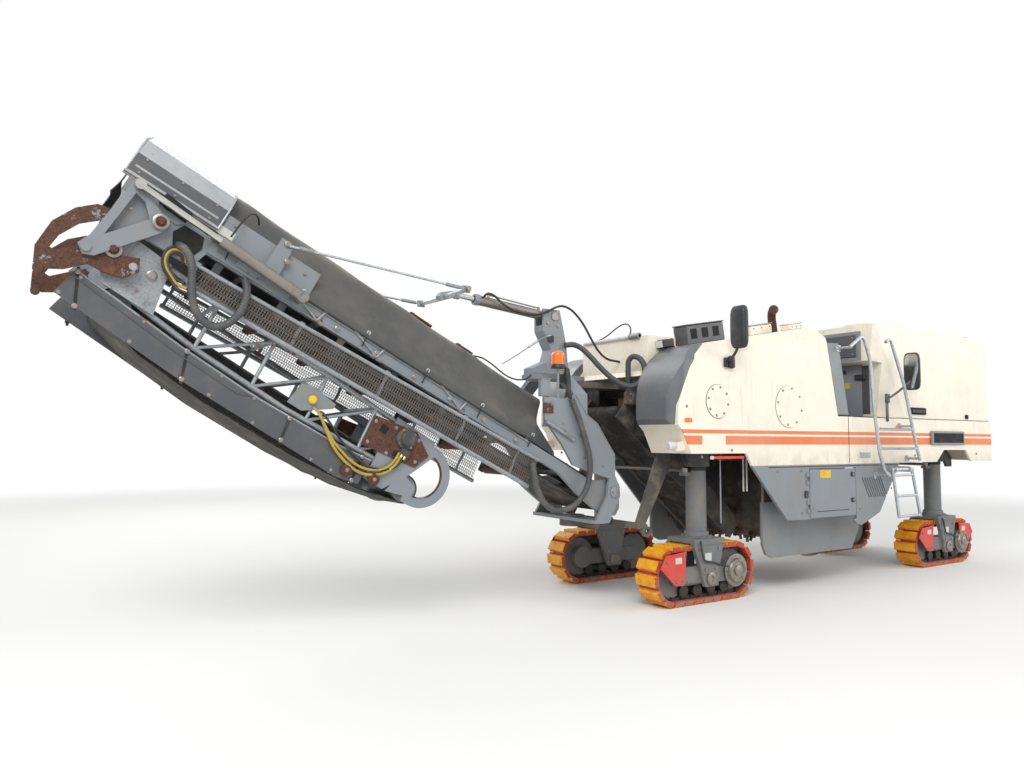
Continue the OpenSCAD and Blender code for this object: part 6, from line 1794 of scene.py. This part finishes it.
@dataclass
class RoofItems:
    """The boxes, lamp, bent exhaust and filler on the roof, in place of the plain ones."""

    side: float = 0.55

    def crate(self, form: Form, lo: Sequence[float], hi: Sequence[float], finish: int, top: int) -> None:
        """A roof box with a lid that overhangs by 6 mm and a row of screws."""
        form.add(block(lo, hi, 0.008), finish)
        form.add(block((lo[0] - 0.006, lo[1] - 0.006, hi[2]), (hi[0] + 0.006, hi[1] + 0.006, hi[2] + 0.012),
                       0.004), top)
        form.add(bolts([(x, hi[1], hi[2] - 0.03) for x in np.linspace(lo[0] + 0.04, hi[0] - 0.04, 3)], LEFT,
                       0.006), 4)

    def build(self) -> None:
        """Makes the roof's pieces in the roof's own sloping coordinates."""
        form = Form(ROOF)
        self.crate(form, (-0.84, 0.44, 0.0), (-0.30, 0.62, 0.188), 0, 0)
        for s in (-0.76, -0.60, -0.44):
            form.add(block((s, 0.62, 0.05), (s + 0.09, 0.622, 0.15), 0.0008), 3)
        self.crate(form, (-1.62, 0.44, 0.0), (-1.28, 0.60, 0.098), 1, 2)
        self.crate(form, (-1.83, 0.70, 0.0), (-1.61, 0.83, 0.06), 1, 1)
        pipe = [(-1.70, 0.55, 0.0), (-1.70, 0.55, 0.08), (-1.70, 0.55, 0.15), (-1.685, 0.57, 0.20),
                (-1.66, 0.605, 0.23), (-1.635, 0.64, 0.24)]
        path = smooth_path(pipe, 30)
        form.add(tube(path, 0.044, 24), 5)
        way = unit(path[-1] - path[-2])
        # Black disc over the pipe's closed mouth: painted shade of its hollow, and its soot.
        form.add(turned([[0, 0], [0.035, 0], [0.035, 0.002], [0, 0.003]], path[-1], way, 24), 3)
        form.add(turned([[0.034, -0.01], [0.050, -0.01], [0.050, 0.006], [0.034, 0.006]], path[-1], way, 24),
                 5)
        form.add(block((-0.14, 0.50, 0.004), (0.02, 0.60, 0.085), 0.01), 6)
        form.add(block((0.02, 0.505, 0.012), (0.026, 0.595, 0.078), 0.002), 7)
        form.add(slab([(-0.16, 0.0), (0.0, 0.0), (-0.02, 0.02), (-0.14, 0.02)], 0.52, 0.58), 6)
        form.add(block((-1.05, 0.30, 0.0), (-0.92, 0.42, 0.05), 0.006), 2)
        form.add(turned([[0, 0], [0.05, 0], [0.05, 0.035], [0.04, 0.045], [0, 0.05]], (-1.15, -0.45, 0.0), UP,
                        24), 6)
        finishes = (Finish.DARK_GREY, Finish.CREAM, Finish.SHEET, Finish.BLACK, Finish.BOLT, Finish.RUSTY,
                    Finish.PLASTIC, Finish.LAMP_GLASS)
        form.piece("roof_items", "chassis", finishes, "cream", 0.001, 40, ["roof_fittings"])


@dataclass
class Mirrors:
    """Rounded mirror housings with glass, on bent arms, in place of the plain ones."""

    points: int = 40

    def housing(self, form: Form, lo: Sequence[float], hi: Sequence[float], face: float,
                both: bool = False) -> None:
        """A shell with rounded corners and a swelling back, and its glass.

        The outline in the Y-Z plane is a superellipse of power 5.

        Args:
            form: what it is added to.
            lo: its low corner.
            hi: its high corner.
            face: 1 where the back swells forwards, -1 where it swells to the rear.
            both: adds its mirror image too.
        """
        mid = (np.array(lo) + np.array(hi)) / 2
        half = (np.array(hi) - np.array(lo)) / 2
        a = np.arange(self.points) / self.points * TAU
        c, s = np.cos(a), np.sin(a)
        oy, oz = np.sign(c) * np.abs(c) ** 0.4, np.sign(s) * np.abs(s) ** 0.4

        def ring(x: float, ky: float, kz: float) -> Array:
            """The outline at depth x, drawn in by ky and kz."""
            outline = [np.full(self.points, half[0] * x), half[1] * oy * ky, half[2] * oz * kz]
            return mid + np.stack(outline, axis=1) * [face, face, 1]

        shell = ((-1.0, 0.94), (-0.86, 0.99), (-0.5, 1.0), (0.2, 0.985), (0.7, 0.92), (1.0, 0.74))
        form.add(loft(np.array([ring(x, k, k) for x, k in shell])), 0, both)
        form.add(loft(np.array([ring(x, 0.86, 0.91) for x in (-1.03, -0.80)])), 1, both)

    def build(self) -> None:
        """Makes the big mirror by the front and a smaller one on each side by the hood."""
        form = Form()
        self.housing(form, (-0.075, 1.11, 2.365), (-0.015, 1.29, 2.765), 1.0)
        form.add(tube(smooth_path([(-0.04, 1.052, 2.25), (-0.04, 1.10, 2.27), (-0.042, 1.16, 2.33),
                                   (-0.045, 1.19, 2.40), (-0.045, 1.20, 2.50)], 24), 0.013, 12), 0)
        form.add(block((-0.08, BODY_FACE + FILM, 2.20), (0.0, 1.072, 2.29), 0.005), 0)
        form.add(block((-0.115, BODY_FACE + FILM, 2.19), (-0.05, 1.10, 2.31), 0.012), 0)
        self.housing(form, (-2.885, 1.15, 2.09), (-2.84, 1.33, 2.51), -1.0, True)
        form.add(tube(smooth_path([(-2.655, 1.062, 1.995), (-2.70, 1.10, 2.03), (-2.79, 1.17, 2.12),
                                   (-2.855, 1.22, 2.20), (-2.862, 1.24, 2.32)], 24), 0.012, 12), 2, True)
        form.add(block((-2.69, BODY_FACE + FILM, 1.95), (-2.62, 1.072, 2.05), 0.004), 2, True)
        form.add(block((-2.68, BODY_FACE + FILM, 1.74), (-2.63, 1.060, 1.96), 0.003), 2, True)
        form.add(bolts([(-2.655, 1.060, 1.76), (-2.655, 1.072, 2.02)], LEFT, 0.009), 2, True)
        form.piece("mirror_housings", "chassis", (Finish.PLASTIC, Finish.MIRROR_GLASS, Finish.DARK_GREY),
                   "dark_grey", 0.0, 50, ["mirrors"])


@dataclass
class Hood:
    """Front wall panels with latches and handle, cap, roof seams and rear catches on the engine hood."""

    lower_wall: float = -2.62
    upper_wall: float = -2.438

    def build(self) -> None:
        """Makes the hood's pieces; they swing with it."""
        form = Form()
        x = self.lower_wall + FILM
        form.add(block((x, 0.54, 1.83), (x + 0.010, 0.88, 2.38), 0.004), 0, True)
        form.add(block((x + 0.010, 0.712, 2.22), (x + 0.045, 0.848, 2.28), 0.010), 1, True)
        form.add(block((x + 0.010, 0.58, 2.13), (x + 0.012, 0.64, 2.19), 0.0008), 2)
        for z in (1.90, 2.32):
            form.add(block((x + 0.010, 0.56, z - 0.02), (x + 0.028, 0.60, z + 0.02), 0.004), 1, True)
        x = self.upper_wall + FILM
        form.add(block((x, 0.40, 2.47), (x + 0.010, 0.84, 2.72), 0.004), 0, True)
        form.add(bolts([(x + 0.010, y, z) for y in (0.44, 0.80) for z in (2.50, 2.69)], AHEAD, 0.008), 3,
                 True)
        form.add(turned([[0, 0], [0.192, 0], [0.196, 0.006], [0.190, 0.012], [0.06, 0.018], [0, 0.018]],
                        (-3.0, 0.56, 2.90), UP, 48), 4)
        form.add(block((-4.935, -0.10, 2.60), (-4.93, 0.10, 2.66), 0.002), 1)
        for y in (-0.6, 0.6):
            form.add(block((-4.955, y - 0.05, 2.60), (-4.930, y + 0.05, 2.64), 0.006), 1)
        form.add(tube([(-2.72, 0.935, 2.846), (-3.6, 0.935, 2.85), (-4.70, 0.935, 2.85)], 0.004, 6), 1, True)
        finishes = (Finish.DARK_GREY, Finish.PLASTIC, Finish.LABEL_YELLOW, Finish.BOLT, Finish.CREAM)
        form.piece("hood_parts", "hood", finishes, "dark_grey", 0.001)


@dataclass
class Skirts:
    """Bolts, a seam, latches and a blank label on the skirts and the service door."""

    face: float = BODY_FACE

    def build(self) -> None:
        """Makes the pieces of the skirts and of the door."""
        y = self.face
        form = Form()
        form.add(block((-1.60, y, 1.14), (-1.42, y + 0.002, 1.22), 0.0008), 0)
        for x, z in ((-0.75, 1.22), (-1.12, 0.80), (-1.12, 1.22), (-2.10, 0.80), (-2.70, 1.22), (-2.70, 1.0)):
            form.add(bolts([(x, y, z)], LEFT, 0.009), 1, True)
        form.add(tube([(-0.62, y + 0.002, 1.262), (-2.84, y + 0.002, 1.262)], 0.004, 6), 2, True)
        form.add(block((-1.21, y - 0.002, 0.95), (-1.16, y + 0.016, 1.02), 0.004), 2)
        form.piece("skirt_parts", "chassis", (Finish.LABEL_YELLOW, Finish.BOLT, Finish.PLASTIC), "blue_grey",
                   0.001)
        door = Form()
        for z in (0.90, 1.17):
            door.add(block((-2.005, y, z - 0.022), (-1.945, y + 0.012, z + 0.022), 0.005), 0)
            door.add(turned([[0, 0], [0.014, 0], [0.014, 0.004], [0, 0.005]], (-1.975, y + 0.012, z), LEFT,
                            16), 1)
        door.add(block((-1.90, y, 0.80), (-1.35, y + 0.0025, 0.806), 0.0008), 2)
        door.piece("service_door_latches", "door", (Finish.PLASTIC, Finish.BOLT, Finish.BLACK), "blue_grey",
                   0.001)


@dataclass
class Underside:
    """Housing ribs, hanging rods, frame bolts and a blank label around the drum, seen under the body."""

    def build(self) -> None:
        """Makes the pieces fixed to the chassis by the drum housing and the front columns."""
        form = Form()
        y = 0.7825
        for x in (-1.95, -1.67, -1.39):
            form.add(block((x - 0.012, y, 0.72), (x + 0.012, y + 0.022, 1.20), 0.003), 0, True)
        form.add(block((-1.86, y, 0.86), (-1.74, y + 0.003, 0.94), 0.001), 1)
        for x in (-0.55, -0.60):
            form.add(tube([(x, 0.80, 1.02), (x, 0.80, 1.34)], 0.009, 10), 2)
        form.add(tube([(-0.13, 0.88, 0.74), (-0.13, 0.88, 1.34)], 0.007, 10), 3, True)
        form.add(bolts([(x, 0.56, z) for x in (0.0, -0.3, -2.6, -3.6) for z in (1.36, 1.44)], LEFT, 0.014), 4,
                 True)
        finishes = (Finish.FRAME, Finish.LABEL_WHITE, Finish.LABEL_WHITE, Finish.OLD_ZINC, Finish.BOLT)
        form.piece("underside_parts", "chassis", finishes, "frame_grey", 0.001)


@dataclass
class LadderParts:
    """Clamps with their bolts, and strips on the treads, of the upper ladder."""

    y: float = 1.20

    def build(self) -> None:
        """Makes the clamps at its fixings and the strips."""
        form = Form()
        for x, z in ((-1.78, 2.50), (-2.40, 1.15), (-2.893, 1.69), (-3.02, 1.33)):
            form.add(block((x - 0.035, BODY_FACE + FILM, z - 0.035), (x + 0.035, 1.060, z + 0.035), 0.003), 0)
            form.add(bolts([(x - 0.02, 1.060, z - 0.02), (x + 0.02, 1.060, z + 0.02)], LEFT, 0.007), 1)
        for z, x0, x1 in ((1.44, -2.238, -2.970), (1.65, -2.200, -2.906)):
            form.add(block((x1 + 0.04, self.y - 0.028, z + 0.008), (x0 - 0.04, self.y + 0.028, z + 0.016),
                           0.003), 0)
        form.piece("ladder_fixings", "chassis", (Finish.ZINC, Finish.BOLT), "galvanised")


PARTS: tuple[type, ...] = (Hoses, Tracks, TrackCarriers, BoomCover, BoomSides, HeadCover, SlewingHead,
                           FoldingSection, FrontWall, BodySides, RoofItems, Mirrors, Hood, Skirts, Underside,
                           LadderParts)


# ---------------------------------------------------------------- main


def main() -> None:
    """Builds the scene, class by class."""
    studio = Studio()
    studio.camera()
    dress_nodes()
    for part in PARTS:
        part().build()
        LOG.info("%s is done", part.__name__)
    studio.build()
    sizes = {"cad": CAD_BOX, "visual": [list(corner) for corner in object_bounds()]}
    sizes = {k: [[float(x) for x in c] for c in v] for k, v in sizes.items()}


if __name__ == "__main__":
    logging.basicConfig(level=logging.INFO, format="%(message)s")
    main()
